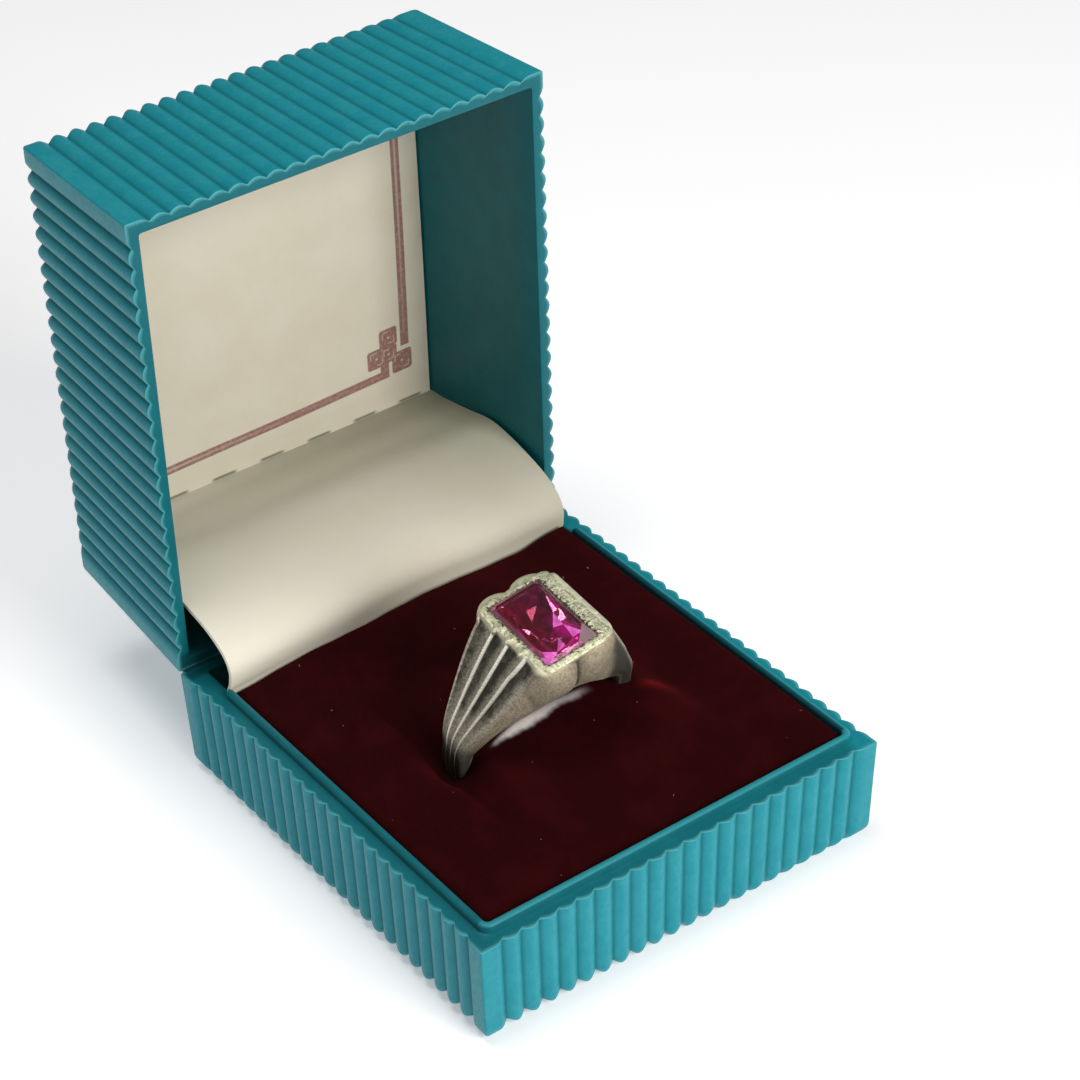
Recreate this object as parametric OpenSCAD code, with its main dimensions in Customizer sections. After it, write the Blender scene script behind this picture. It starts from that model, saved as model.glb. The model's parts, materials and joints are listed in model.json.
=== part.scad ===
// Gemstone ring standing in a ribbed ring box whose lid is hinged open.
// The origin is the middle of the box's underside, X along the hinge, Y to the back, Z up.

/* [Ribbed box] */
// Distance from one rib to the next
rib_pitch = 2.1; // [1.8:0.05:2.6]
// Full ribs on the front and back walls
ribs_across = 20; // [10:2:26]
// Full ribs on the side walls
ribs_deep = 22; // [12:2:28]
// Depth of the grooves between the ribs
rib_depth = 0.45; // [0.3:0.05:0.8]
// Distance from each corner to the middle of the first groove
corner_block = 2.65; // [2.2:0.05:3.5]
// Height of the base up to its rim
base_height = 11.9; // [11.8:0.1:16]
// Height of the lid from its rim to its top
lid_height = 21.8; // [20:0.1:26]
// Rounding of the edges round the base's underside and the lid's top
edge_radius = 1.8; // [1:0.1:2.4]
// Thickness of the lid's walls and of the base's back wall
wall = 1.4; // [1.2:0.05:1.6]
// Thickness of the base's floor
base_floor = 1.1; // [0.8:0.1:1.4]
// Thickness of the lid's top
lid_top = 1.4; // [1:0.1:2]
// Width of the flat ledge between the ribs and the collar
ledge = 1.6; // [1.6:0.05:2]
// Thickness of the collar that the lid closes over
collar_thick = 0.75; // [0.6:0.05:1]
// Height of the collar above the rim
collar_height = 0.95; // [0.6:0.05:1.4]

/* [Hinge] */
// Angle that the lid is opened to
open_angle = 90; // [60:1:90]
// Outer radius of the hinge's knuckles
knuckle_radius = 1.0; // [0.9:0.05:1.2]
// Radius of the hinge's steel pin
pin_radius = 0.4; // [0.3:0.05:0.5]
// Running clearance round the pin
pin_clearance = 0.05; // [0.02:0.01:0.1]
// Number of knuckles, alternately the base's and the lid's
knuckles = 5; // [3:2:9]

/* [Lining] */
// Thickness of the cream card
card = 0.5; // [0.4:0.1:0.8]
// Height of the card's fold above the base's rim, with the lid open
fold_height = 5.1; // [4.8:0.1:6.5]
// Distance from the back of the base to the front of the card's flap
flap_reach = 4.4; // [3.5:0.1:5]

/* [Velvet pad] */
// Height of the pad's edge above the base's rim
pad_rise = 0.45; // [0.2:0.05:0.8]
// Height of the pad's middle above its edge
pad_crown = 0.35; // [0:0.05:0.6]
// Width of the tongue that passes through the ring
tongue_width = 22.6; // [18:0.2:24]
// Height of the tongue's top above the pad
tongue_rise = 1.7; // [0.5:0.1:2]

/* [Ring] */
// Diameter of the hole for the finger
finger_diameter = 18.2; // [17:0.1:18.4]
// Radius of the round outline of the shank and the lower shoulders
outline_radius = 10.5; // [10.4:0.05:10.8]
// Height of that outline's centre above the middle of the finger hole
outline_offset = 2.0; // [1.6:0.1:2.2]
// Height of the middle of the stone's table above the middle of the finger hole
head_height = 14.15; // [13.8:0.05:14.4]
// Distance of the head's left edge from the ring's middle
head_left = 4.0; // [3.9:0.05:4.3]
// Distance of the head's right edge from the ring's middle
head_right = 4.7; // [4.1:0.05:4.8]
// Half the length of the head, along the finger
head_half = 6.45; // [6.1:0.05:6.6]
// Distance of the straight left shoulder from the middle of the finger hole
shoulder_left = 11.05; // [10.8:0.05:11.3]
// Distance of the straight right shoulder from the middle of the finger hole
shoulder_right = 11.5; // [11:0.05:11.6]
// Half the shoulders' width where they meet the head
shoulder_half = 4.95; // [4.6:0.05:5.2]
// Half the width of the shank where the pad holds it
shank_half = 1.6; // [1.2:0.1:1.8]
// Radius of the two lobes at each end of the head
lobe_radius = 2.4; // [2.1:0.05:2.6]
// Depth of the flutes on the shoulders
flute_depth = 0.6; // [0.2:0.05:0.7]
// Distance of the ring to the left of the middle of the box
ring_left = 0.7; // [-1:0.05:1]
// Distance of the finger hole's middle in front of the middle of the box
ring_forward = 3.4; // [2:0.05:5]
// Angle that the ring leans forward
ring_lean = 6.2; // [0:0.2:7]

/* [Stone] */
// Width of the stone across the finger
stone_width = 6.2; // [5:0.1:6.4]
// Length of the stone along the finger
stone_length = 9.8; // [8:0.1:10.2]
// Gap between the stone and its setting
stone_gap = 0.08; // [0.05:0.01:0.15]
// Slope of the stone down to the left, across the finger
slope_across = 8.6; // [0:0.2:9]

/* [Hidden] */

box_width = ribs_across * rib_pitch + 2 * corner_block;
box_depth = ribs_deep * rib_pitch + 2 * corner_block;
rib_steps = 6;
arc_steps = 3;
margin = 1;
round_fn = 48;

// The hinge axis lies on the back plane of the box, in the gap between the rims.
rim_gap = 0.2;
axis_y = box_depth / 2;
axis_z = base_height + rim_gap / 2;
barrel_length = box_width - 2 * (corner_block + 1.5 * rib_pitch);
knuckle_gap = 0.25;
knuckle_pitch = barrel_length / knuckles;
notch_radius = knuckle_radius + 0.2;

inner_half_width = box_width / 2 - ledge - collar_thick;
inner_front = -box_depth / 2 + ledge + collar_thick;
inner_back = box_depth / 2 - wall;
collar_back = box_depth / 2 - flap_reach - 0.2;
collar_radius = 1.6;
lid_inner_half_width = box_width / 2 - wall;
lid_inner_half_depth = box_depth / 2 - wall;
lid_inner_radius = 0.8;

soft_gap = 0.2;
pad_half_width = inner_half_width - soft_gap;
pad_front = inner_front + soft_gap;
pad_back = box_depth / 2 - flap_reach - soft_gap;
pad_edge = base_height + pad_rise;
pad_top = pad_edge + pad_crown;
pad_radius = 0.9;

finger_radius = finger_diameter / 2;
ring_floor_gap = 0.3;
shank_radius = sqrt(pow(outline_radius, 2) - pow(outline_offset, 2));
ring_z = base_floor + ring_floor_gap + shank_radius;
groove_half = shank_half + 0.5;
groove_gap = 0.3;

panel_half_width = lid_inner_half_width - 0.4;
panel_depth = lid_height - lid_top - card;

// A rib is one rounded bump, whose crest lies on the box's side, between two sharp grooves.
function rib_dip(s, length) =
    let (start = corner_block - rib_pitch / 2)
    s < start || s > length - start ? 0
    : rib_depth * (1 - abs(cos(180 * (s - start) / rib_pitch)));

// Points along one side, from its corner to the next, before it is turned into place.
function rib_side(length, ribs) =
    let (start = corner_block - rib_pitch / 2, step = rib_pitch / rib_steps)
    concat([[0, 0]],
           [for (i = [0 : (ribs + 1) * rib_steps])
               let (s = start + i * step) [s, rib_dip(s, length)]]);

function turn(points, angle, x, y) =
    [for (p = points) [x + p[0] * cos(angle) - p[1] * sin(angle),
                       y + p[0] * sin(angle) + p[1] * cos(angle)]];

module ribbed_outline() {
    w = box_width / 2;
    d = box_depth / 2;
    polygon(concat(turn(rib_side(box_width, ribs_across), 0, -w, -d),
                   turn(rib_side(box_depth, ribs_deep), 90, w, -d),
                   turn(rib_side(box_width, ribs_across), 180, w, d),
                   turn(rib_side(box_depth, ribs_deep), 270, -w, d)));
}

// A side view whose two lower corners are rounded.
module rounded_foot(width, height) {
    corner = [for (i = [0 : arc_steps])
                 let (a = 90 * i / arc_steps)
                 [width / 2 - edge_radius + edge_radius * sin(a),
                  edge_radius - edge_radius * cos(a)]];
    right = concat(corner, [[width / 2, height]]);
    left = [for (i = [len(right) - 1 : -1 : 0]) [-right[i][0], right[i][1]]];
    polygon(concat(right, left));
}

// A ribbed block that stands on its rounded end, with its rim at the given height.
module ribbed_block(height) {
    intersection() {
        linear_extrude(height) ribbed_outline();
        rotate([90, 0, 0])
            linear_extrude(box_depth + 2 * margin, center = true)
                rounded_foot(box_width, height + margin);
        rotate([90, 0, 90])
            linear_extrude(box_width + 2 * margin, center = true)
                rounded_foot(box_depth, height + margin);
    }
}

module rounded_rectangle(x0, x1, y0, y1, r) {
    translate([x0 + r, y0]) square([x1 - x0 - 2 * r, y1 - y0]);
    translate([x0, y0 + r]) square([x1 - x0, y1 - y0 - 2 * r]);
    for (x = [x0 + r, x1 - r], y = [y0 + r, y1 - r])
        translate([x, y]) circle(r, $fn = round_fn);
}

// The collar runs along the left, front and right walls, and stops at the flap.
module collar() {
    half = box_width / 2 - ledge;
    front = -box_depth / 2 + ledge;
    translate([0, 0, base_height - margin])
        linear_extrude(margin + collar_height)
            intersection() {
                rounded_rectangle(-half, half, front, box_depth, collar_radius);
                translate([-half, front]) square([2 * half, collar_back - front]);
            }
}

module along_hinge(from, length, radius) {
    translate([from, axis_y, axis_z])
        rotate([0, 90, 0]) cylinder(h = length, r = radius, $fn = round_fn);
}

// The knuckles of one body: parity 0 is the base's, 1 is the lid's.
module knuckle_row(parity) {
    for (i = [parity : 2 : knuckles - 1])
        along_hinge(-barrel_length / 2 + i * knuckle_pitch + knuckle_gap / 2,
                    knuckle_pitch - knuckle_gap, knuckle_radius);
}

// Room for the other body's knuckles, through the whole wall: side is -1 below the rim, 1 above.
module knuckle_room(parity, side) {
    for (i = [parity : 2 : knuckles - 1]) {
        from = -barrel_length / 2 + i * knuckle_pitch - knuckle_gap / 2;
        long = knuckle_pitch + knuckle_gap;
        along_hinge(from, long, notch_radius);
        translate([from, axis_y - wall - 0.3, side < 0 ? axis_z - notch_radius : axis_z - margin])
            cube([long, wall + 0.3, notch_radius + margin]);
    }
}

module pin_bore() {
    along_hinge(-(barrel_length + knuckle_gap) / 2, barrel_length + knuckle_gap,
                pin_radius + pin_clearance);
}

module base_shell() {
    color([0.18, 0.55, 0.58])
    difference() {
        union() {
            difference() {
                union() {
                    ribbed_block(base_height);
                    collar();
                }
                translate([0, 0, base_floor])
                    linear_extrude(base_height + margin)
                        rounded_rectangle(-inner_half_width, inner_half_width,
                                          inner_front, inner_back, pad_radius);
                knuckle_room(1, -1);
            }
            knuckle_row(0);
        }
        pin_bore();
    }
}

module hinge_pin() {
    color([0.7, 0.7, 0.72])
    along_hinge(-barrel_length / 2, barrel_length, pin_radius);
}

// The lid is drawn closed and turned back about the hinge.
module opened() {
    translate([0, axis_y, axis_z])
        rotate([-open_angle, 0, 0])
            translate([0, -axis_y, -axis_z])
                children();
}

module lid_shell() {
    rim_z = base_height + rim_gap;
    color([0.18, 0.55, 0.58])
    opened()
    difference() {
        union() {
            difference() {
                translate([0, 0, rim_z + lid_height])
                    mirror([0, 0, 1]) ribbed_block(lid_height);
                translate([0, 0, rim_z - margin])
                    linear_extrude(lid_height - lid_top + margin)
                        rounded_rectangle(-lid_inner_half_width, lid_inner_half_width,
                                          -lid_inner_half_depth, lid_inner_half_depth,
                                          lid_inner_radius);
                knuckle_room(0, 1);
            }
            knuckle_row(1);
        }
        pin_bore();
    }
}

// The card glued inside the lid's top, down to the fold.
module lid_panel() {
    front = -lid_inner_half_depth + 0.3;
    back = box_depth / 2 - fold_height;
    color([0.85, 0.82, 0.74])
    opened()
    translate([-panel_half_width, front, base_height + rim_gap + panel_depth])
        cube([2 * panel_half_width, back - front, card]);
}

// The flap's profile from the fold to behind the pad, as [y behind the box's back, z above the rim]:
// a long low hump over the hinge and a quarter turn down to the pad.
hump_top = [8.0, 6.7];
fold_point = [panel_depth - 0.1, fold_height + 0.1];
nose = [-flap_reach + card / 2, 1.2];
tuck = [-flap_reach + card / 2, -2.6];
flap_steps = 8;
function flap_curve() = concat(
    [for (i = [0 : flap_steps])
        let (t = i / flap_steps)
        [fold_point[0] + (hump_top[0] - fold_point[0]) * t,
         fold_point[1] + (hump_top[1] - fold_point[1]) * (1 - cos(180 * t)) / 2]],
    [for (i = [1 : flap_steps])
        let (a = 90 * i / flap_steps)
        [hump_top[0] + (nose[0] - hump_top[0]) * sin(a),
         nose[1] + (hump_top[1] - nose[1]) * cos(a)]],
    [tuck]);

function flap_normal(points, i) =
    let (a = points[max(i - 1, 0)], b = points[min(i + 1, len(points) - 1)], d = b - a)
    [d[1], -d[0]] / norm(d);

// The tucked end is narrower, because it goes down between the base's side walls.
tuck_gap = 0.3;
tuck_length = 3;
module hinge_flap() {
    centre = flap_curve();
    last = len(centre) - 1;
    outer = [for (i = [0 : last]) centre[i] - flap_normal(centre, i) * card / 2];
    inner = [for (i = [last : -1 : 0]) centre[i] + flap_normal(centre, i) * card / 2];
    tuck_half = inner_half_width - tuck_gap;
    color([0.88, 0.86, 0.78])
    difference() {
        translate([-panel_half_width, axis_y, base_height])
            rotate([90, 0, 90])
                linear_extrude(2 * panel_half_width) polygon(concat(outer, inner));
        for (x = [-tuck_half - 2 * margin, tuck_half])
            translate([x, axis_y - flap_reach - margin, base_height - tuck_length])
                cube([2 * margin, 3 * margin, tuck_length + tuck_gap]);
    }
}

// The tongue's top, a long low wave that is highest where the ring holds it.
tongue_back = 8.5;
tongue_front = -16.5;
tongue_peak = -5.5;
tongue_steps = 8;
function tongue_wave() = concat(
    [for (i = [0 : tongue_steps])
        let (t = i / tongue_steps)
        [tongue_front + (tongue_peak - tongue_front) * t,
         pad_top - 0.2 + (tongue_rise + 0.2) * (1 - cos(180 * t)) / 2]],
    [for (i = [1 : tongue_steps])
        let (t = i / tongue_steps)
        [tongue_peak + (tongue_back - tongue_peak) * t,
         pad_top - 0.2 + (tongue_rise + 0.2) * (1 + cos(180 * t)) / 2]]);

// A shallow crown, seen from one side.
module crowned_side(from, to) {
    steps = 10;
    polygon(concat([[from, base_floor]],
                   [for (i = [0 : steps])
                       let (t = i / steps)
                       [from + (to - from) * t,
                        pad_edge + pad_crown * (1 - pow(2 * t - 1, 4))]],
                   [[to, base_floor]]));
}

// The ring stands in the pad, leaning a little forward.
module at_ring() {
    translate([-ring_left, -ring_forward, ring_z]) rotate([ring_lean, 0, 0]) children();
}

module ring_groove() {
    at_ring()
    rotate([90, 0, 0])
        difference() {
            cylinder(h = 2 * groove_half, r = shank_radius + 3 * groove_gap,
                     center = true, $fn = round_fn);
            cylinder(h = 2 * groove_half + margin, r = finger_radius - groove_gap,
                     center = true, $fn = round_fn);
        }
}

module velvet_pad() {
    color([0.25, 0.03, 0.04])
    difference() {
        union() {
            intersection() {
                translate([0, 0, base_floor])
                    linear_extrude(base_height + margin)
                        rounded_rectangle(-pad_half_width, pad_half_width,
                                          pad_front, pad_back, pad_radius - soft_gap);
                rotate([90, 0, 0])
                    linear_extrude(box_depth, center = true)
                        crowned_side(-pad_half_width, pad_half_width);
                rotate([90, 0, 90])
                    linear_extrude(box_width, center = true)
                        crowned_side(pad_front, pad_back);
            }
            rotate([90, 0, 90])
                linear_extrude(tongue_width, center = true)
                    polygon(concat(tongue_wave(),
                                   [[tongue_back, base_height / 2],
                                    [tongue_front, base_height / 2]]));
        }
        ring_groove();
    }
}

// The ring's sections stand on rays from the middle of the finger hole, at these angles from the
// top. An angle above 0 is on the right, and one of them is that of each edge of the head.
function head_edge(a) = a > 0 ? head_right : head_left;
function head_edge_angle(side) =
    atan(head_edge(side) / (head_height + side * tan(slope_across) * head_edge(side)));
head_angles = [0, 2.5, 5, 7.5, 10, 12, 14, head_edge_angle(-1), head_edge_angle(1), 19];
shoulder_angles = [for (i = [0 : 12]) 22 + i * 6];
shank_angles = [for (i = [0 : 6]) 102 + i * 12];
half_angles = concat(head_angles, shoulder_angles, shank_angles);
section_angles = concat(half_angles, [180],
                        [for (i = [len(half_angles) - 1 : -1 : 1]) -half_angles[i]]);

// Reach of the outside along a ray: the round shank, the straight shoulder that runs up from it
// to the head's edge, and the plane of the stone's table that cuts the head off.
function round_reach(a) =
    cos(a) < 0 ? shank_radius
    : outline_offset * cos(a) + sqrt(pow(outline_radius, 2) - pow(outline_offset * sin(a), 2));
function table_reach(a) = head_height / (cos(a) - tan(slope_across) * sin(a));
function straight_reach(a) =
    let (side = a > 0 ? 1 : -1,
         away = a > 0 ? shoulder_right : shoulder_left,
         edge = head_edge_angle(side),
         square = edge + acos(away / table_reach(side * edge)))
    away / cos(abs(a) - square);
round_from = 45;
straight_until = 100;
function outer_reach(a) =
    abs(a) < round_from ? min(straight_reach(a), table_reach(a))
    : abs(a) < straight_until ? min(straight_reach(a), round_reach(a))
    : round_reach(a);

// The ring widens between these heights over the finger hole's middle, from shank to shoulder.
flare_from = 3;
flare_to = 13.5;
ease_in = 1.2;
ease_out = 1.7;
function flare(z) =
    let (t = max(0, min(1, (z - flare_from) / (flare_to - flare_from))))
    1 - pow(1 - pow(t, ease_in), ease_out);

// Two round lobes stand side by side at each end of the head.
lobe_middle = 1.9;
function lobe_reach(x) =
    let (beside = abs(x) - lobe_middle)
    abs(beside) > lobe_radius ? 0
    : head_half - lobe_radius + sqrt(pow(lobe_radius, 2) - pow(beside, 2));

// The flutes lie side by side from one share of the half width to another.
flutes_front = -0.86;
flutes_back = 0.92;
flutes = 4;
flute_points = 4;
flute_span = flutes_back - flutes_front;
function flute_wave(s) =
    s <= flutes_front || s >= flutes_back ? 0
    : abs(sin(180 * flutes * (s - flutes_front) / flute_span));

// The flutes start between two angles under the head, and die out between two on the shank.
flutes_start = [17, 21];
flutes_end = [55, 96];
function share_between(pair, a) = max(0, min(1, (a - pair[0]) / (pair[1] - pair[0])));
function flute_fade(a) =
    share_between(flutes_start, abs(a)) * (1 - share_between(flutes_end, abs(a)));

across = concat([-1, -0.94],
                [for (i = [0 : flutes * flute_points])
                    flutes_front + flute_span * i / (flutes * flute_points)],
                [1]);
bore_skin = 0.3;
side_draft = 0.1;

// The front edge is rounded more than the back one.
front_drop = 1.2;
back_drop = 0.4;
drop_power = 10;
function edge_drop(s) = (s < 0 ? front_drop : back_drop) * pow(abs(s), drop_power);

// One section as [y, reach] pairs: across the outside, down the back, and out of the bore.
function ring_section(a) =
    let (top = outer_reach(a),
         shoulder = shank_half + (shoulder_half - shank_half) * flare(top * cos(a)),
         half = cos(a) > 0 ? max(shoulder, lobe_reach(top * sin(a))) : shoulder,
         low = finger_radius - bore_skin,
         narrow = shoulder - side_draft,
         depth = flute_depth * flute_fade(a),
         back = top - back_drop,
         front = top - front_drop)
    concat([for (s = across) [s * half, top - depth * flute_wave(s) - edge_drop(s)]],
           [for (t = [0.33, 0.67]) [half + (narrow - half) * t * t, back + (low - back) * t]],
           [[narrow, low], [-narrow, low]],
           [for (t = [0.67, 0.33])
               [-half - (narrow - half) * t * t, front + (low - front) * t]]);

module cast_blank() {
    sections = [for (a = section_angles)
                   [for (p = ring_section(a)) [p[1] * sin(a), p[0], p[1] * cos(a)]]];
    count = len(sections);
    size = len(sections[0]);
    polyhedron(
        points = [for (s = sections, p = s) p],
        faces = [for (i = [0 : count - 1], j = [0 : size - 1])
                    let (a = i * size + j,
                         b = i * size + (j + 1) % size,
                         c = ((i + 1) % count) * size + (j + 1) % size,
                         d = ((i + 1) % count) * size + j)
                    each [[a, b, c], [a, c, d]]]);
}

girdle_height = 0.3;
girdle_drop = 0.75;
crown_width = 0.75;
seat_lip = 0.55;
pavilion_depth = 2.7;

// From the middle of the sloping table.
module at_table() {
    translate([0, 0, head_height]) rotate([0, -slope_across, 0]) children();
}

// Where the stone's pavilion turns steeper, as its size across, along the finger and its depth.
pavilion_turn = [stone_width * 0.74 - 2 * seat_lip, stone_length * 0.78 - 2 * seat_lip,
                 girdle_drop + pavilion_depth / 2];
seat_clearance = 0.2;

module centred_block(w, l, low, high) {
    translate([-w / 2, -l / 2, low]) cube([w, l, high - low]);
}

// A straight pocket for the girdle, and under it a seat that narrows along with the stone.
module stone_room() {
    w = stone_width + 2 * stone_gap;
    l = stone_length + 2 * stone_gap;
    rest = -girdle_drop - stone_gap;
    narrow = [pavilion_turn[0] + 2 * seat_clearance, pavilion_turn[1] + 2 * seat_clearance];
    turn_z = -pavilion_turn[2] - stone_gap;
    through = head_height - finger_radius + 3;
    skin = 0.01;
    centred_block(w, l, rest, margin);
    hull() {
        centred_block(w, l, rest, rest + skin);
        centred_block(narrow[0], narrow[1], turn_z - skin, turn_z);
    }
    centred_block(narrow[0], narrow[1], -through, turn_z);
}

module ring_band() {
    color([0.75, 0.74, 0.7])
    at_ring()
    difference() {
        cast_blank();
        rotate([90, 0, 0])
            cylinder(h = 4 * head_half, r = finger_radius, center = true, $fn = 96);
        at_table() stone_room();
    }
}

// A rectangle's corners at one height, with cut corners where cut is more than 0.
function stone_ring(w, l, z, cut) =
    [for (q = [[1, 1], [-1, 1], [-1, -1], [1, -1]], k = [0, 1])
        let (first = (q[0] * q[1] > 0) == (k == 0))
        [q[0] * (w / 2 - (first ? 0 : cut)), q[1] * (l / 2 - (first ? cut : 0)), z]];

// Corner cut stone: table, crown facets, girdle, and a stepped pavilion down to a short keel.
module gemstone() {
    table_rise = 0.05;
    keel = 1.3;
    color([0.7, 0.05, 0.4])
    at_ring()
    at_table()
    hull()
        polyhedron(
            points = concat(stone_ring(stone_width, stone_length, -girdle_drop, 0.25),
                            stone_ring(stone_width, stone_length, girdle_height - girdle_drop, 0.25),
                            stone_ring(stone_width - 2 * crown_width,
                                       stone_length - 2 * crown_width, table_rise, 0.7),
                            stone_ring(pavilion_turn[0], pavilion_turn[1],
                                       -pavilion_turn[2], 0.5),
                            [[0, keel, -girdle_drop - pavilion_depth],
                             [0, -keel, -girdle_drop - pavilion_depth]]),
            faces = [[for (i = [0 : 33]) i]]);
}

base_shell();
hinge_pin();
velvet_pad();
ring_band();
gemstone();
lid_shell();
lid_panel();
hinge_flap();
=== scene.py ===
"""A silver ring with a magenta stone, standing in the velvet of an open ribbed ring box."""

import json
import math

import bmesh
import bpy
import numpy as np
from bpy.props import FloatProperty, FloatVectorProperty, IntProperty, PointerProperty
from mathutils import Matrix, Vector, noise

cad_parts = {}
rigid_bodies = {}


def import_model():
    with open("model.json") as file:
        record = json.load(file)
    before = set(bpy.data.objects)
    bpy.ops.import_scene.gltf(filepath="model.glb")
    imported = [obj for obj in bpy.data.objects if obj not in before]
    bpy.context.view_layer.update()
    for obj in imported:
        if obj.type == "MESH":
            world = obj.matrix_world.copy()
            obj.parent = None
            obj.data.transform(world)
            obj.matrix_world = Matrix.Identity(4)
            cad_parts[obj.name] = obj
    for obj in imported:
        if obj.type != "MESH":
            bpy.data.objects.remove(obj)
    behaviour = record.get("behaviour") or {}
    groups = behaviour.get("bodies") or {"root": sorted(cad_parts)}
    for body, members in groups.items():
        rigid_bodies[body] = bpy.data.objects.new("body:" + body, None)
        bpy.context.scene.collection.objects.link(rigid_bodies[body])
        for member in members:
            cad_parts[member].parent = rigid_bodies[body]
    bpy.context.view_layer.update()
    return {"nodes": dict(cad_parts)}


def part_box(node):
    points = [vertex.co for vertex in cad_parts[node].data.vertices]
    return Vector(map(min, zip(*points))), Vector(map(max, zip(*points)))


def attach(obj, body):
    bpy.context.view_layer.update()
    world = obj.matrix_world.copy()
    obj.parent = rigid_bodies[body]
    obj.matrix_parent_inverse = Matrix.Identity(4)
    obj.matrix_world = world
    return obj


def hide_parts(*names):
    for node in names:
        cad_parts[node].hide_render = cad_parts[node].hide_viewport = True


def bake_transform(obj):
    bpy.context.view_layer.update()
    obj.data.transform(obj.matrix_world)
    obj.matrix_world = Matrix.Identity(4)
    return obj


bl_info = {
    "name": "Gemstone Ring in a Ring Box",
    "version": (1, 0, 0),
    "blender": (4, 5, 0),
    "location": "View3D > Sidebar > Ring Box",
    "description": "Builds a silver ring with a magenta stone in an open ribbed ring box",
    "category": "Add Mesh",
}

for leftover in list(bpy.data.objects):
    bpy.data.objects.remove(leftover)
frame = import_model()

MM = 0.001


# Settings that a user would change.

def length(name, description, millimetres):
    """A length setting, given in millimetres and kept in metres."""
    return FloatProperty(name=name, description=description, default=millimetres * MM,
                         unit="LENGTH", precision=5)


def colour(name, description, red, green, blue):
    return FloatVectorProperty(name=name, description=description, subtype="COLOR", size=4,
                               default=(red, green, blue, 1.0), min=0.0, max=1.0)


def amount(name, description, default):
    return FloatProperty(name=name, description=description, default=default,
                         min=0.0, max=1.0, subtype="FACTOR")


def strength(name, description, default):
    return FloatProperty(name=name, description=description, default=default, min=0.0)


def number(name, description, default, lowest=0, highest=999):
    return IntProperty(name=name, description=description, default=default,
                       min=lowest, max=highest)


def angle(name, description, degrees):
    return FloatProperty(name=name, description=description, default=math.radians(degrees),
                         subtype="ANGLE")


class BoxSettings(bpy.types.PropertyGroup):
    """Sizes and colours of the ribbed plastic box."""

    width: length("Width", "Width of the box over its ribs", 47.3)
    depth: length("Depth", "Depth of the box over its ribs", 51.5)
    base_height: length("Base height", "Height of the base up to its rim", 11.9)
    lid_height: length("Lid height", "Height of the lid from its rim to its top", 21.8)
    rib_pitch: length("Rib pitch", "Distance from one rib to the next", 2.1)
    rib_depth: length("Rib depth", "Depth of the grooves between the ribs", 0.45)
    corner_block: length("Corner block", "From a corner to the first groove's middle", 2.65)
    edge_radius: length("Edge radius", "Rounding round the underside and the lid's top", 1.7)
    wall: length("Wall", "Thickness of the lid's walls at its rim", 1.4)
    floor: length("Floor", "Thickness of the base's floor", 1.1)
    roof: length("Roof", "Thickness of the lid's top", 1.4)
    ledge: length("Ledge", "Width of the ledge outside the collar", 1.6)
    collar_thick: length("Collar thickness", "Thickness of the collar", 0.75)
    collar_height: length("Collar height", "Height of the collar over the rim", 0.95)
    collar_back: length("Collar end", "How far back the collar runs from the middle", 21.15)
    base_draft: amount("Base draft", "Lean of the base's walls, as a slope", 0.03)
    lid_draft: amount("Lid draft", "Lean of the lid's walls, as a slope", 0.04)
    # The outer walls take this colour, paler than the rims and the inside.
    plastic: colour("Plastic", "Colour of the faded outer walls", 0.006, 0.245, 0.300)
    # Also the colour of the painted highlight on the front bead.
    plastic_worn: colour("Worn plastic", "Colour where the plastic is rubbed",
                         0.036, 0.330, 0.380)
    plastic_deep: colour("Deep plastic", "Colour of the rims and of the inside",
                         0.004, 0.125, 0.152)


class HingeSettings(bpy.types.PropertyGroup):
    """The hinge between the base and the lid."""

    knuckles: number("Knuckles", "Knuckles of both bodies together", 5, 3, 9)
    barrel: length("Barrel length", "Length of the row of knuckles", 35.7)
    radius: length("Knuckle radius", "Outer radius of a knuckle", 1.0)
    bore: length("Bore radius", "Radius of the hole for the pin", 0.45)
    gap: length("Gap", "Gap between two knuckles", 0.25)
    room: length("Room", "Radius of the room for the other body's knuckles", 1.2)
    steel: colour("Steel", "Colour of the pin", 0.52, 0.53, 0.55)


class LiningSettings(bpy.types.PropertyGroup):
    """The cream card inside the lid, and its flap."""

    thickness: length("Thickness", "Thickness of the card", 0.42)
    half_width: length("Half width", "Half the width of the card", 21.25)
    top: length("Top", "Height of the card's upper edge", 61.0)
    fold: length("Fold", "Height of the fold over the base's rim", 5.1)
    cream: colour("Cream", "Colour of the card", 0.66, 0.615, 0.50)
    print_colour: colour("Print", "Colour of the printed border", 0.235, 0.090, 0.080)


class PadSettings(bpy.types.PropertyGroup):
    """The velvet pad that holds the ring."""

    edge: length("Edge height", "Height of the pad's edge", 12.25)
    crown: length("Crown", "Height of the pad's middle over its edge", 0.40)
    tongue: length("Tongue", "Height of the tongue that passes through the ring", 1.75)
    specks: number("Specks", "Specks of lint on the velvet", 24, 0, 400)
    seed: number("Seed", "Seed of the specks' places", 7)
    velvet: colour("Velvet", "Colour of the velvet", 0.020, 0.0012, 0.0017)
    velvet_light: colour("Brushed velvet", "Colour where the pile lies over",
                         0.040, 0.0022, 0.0030)


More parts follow.
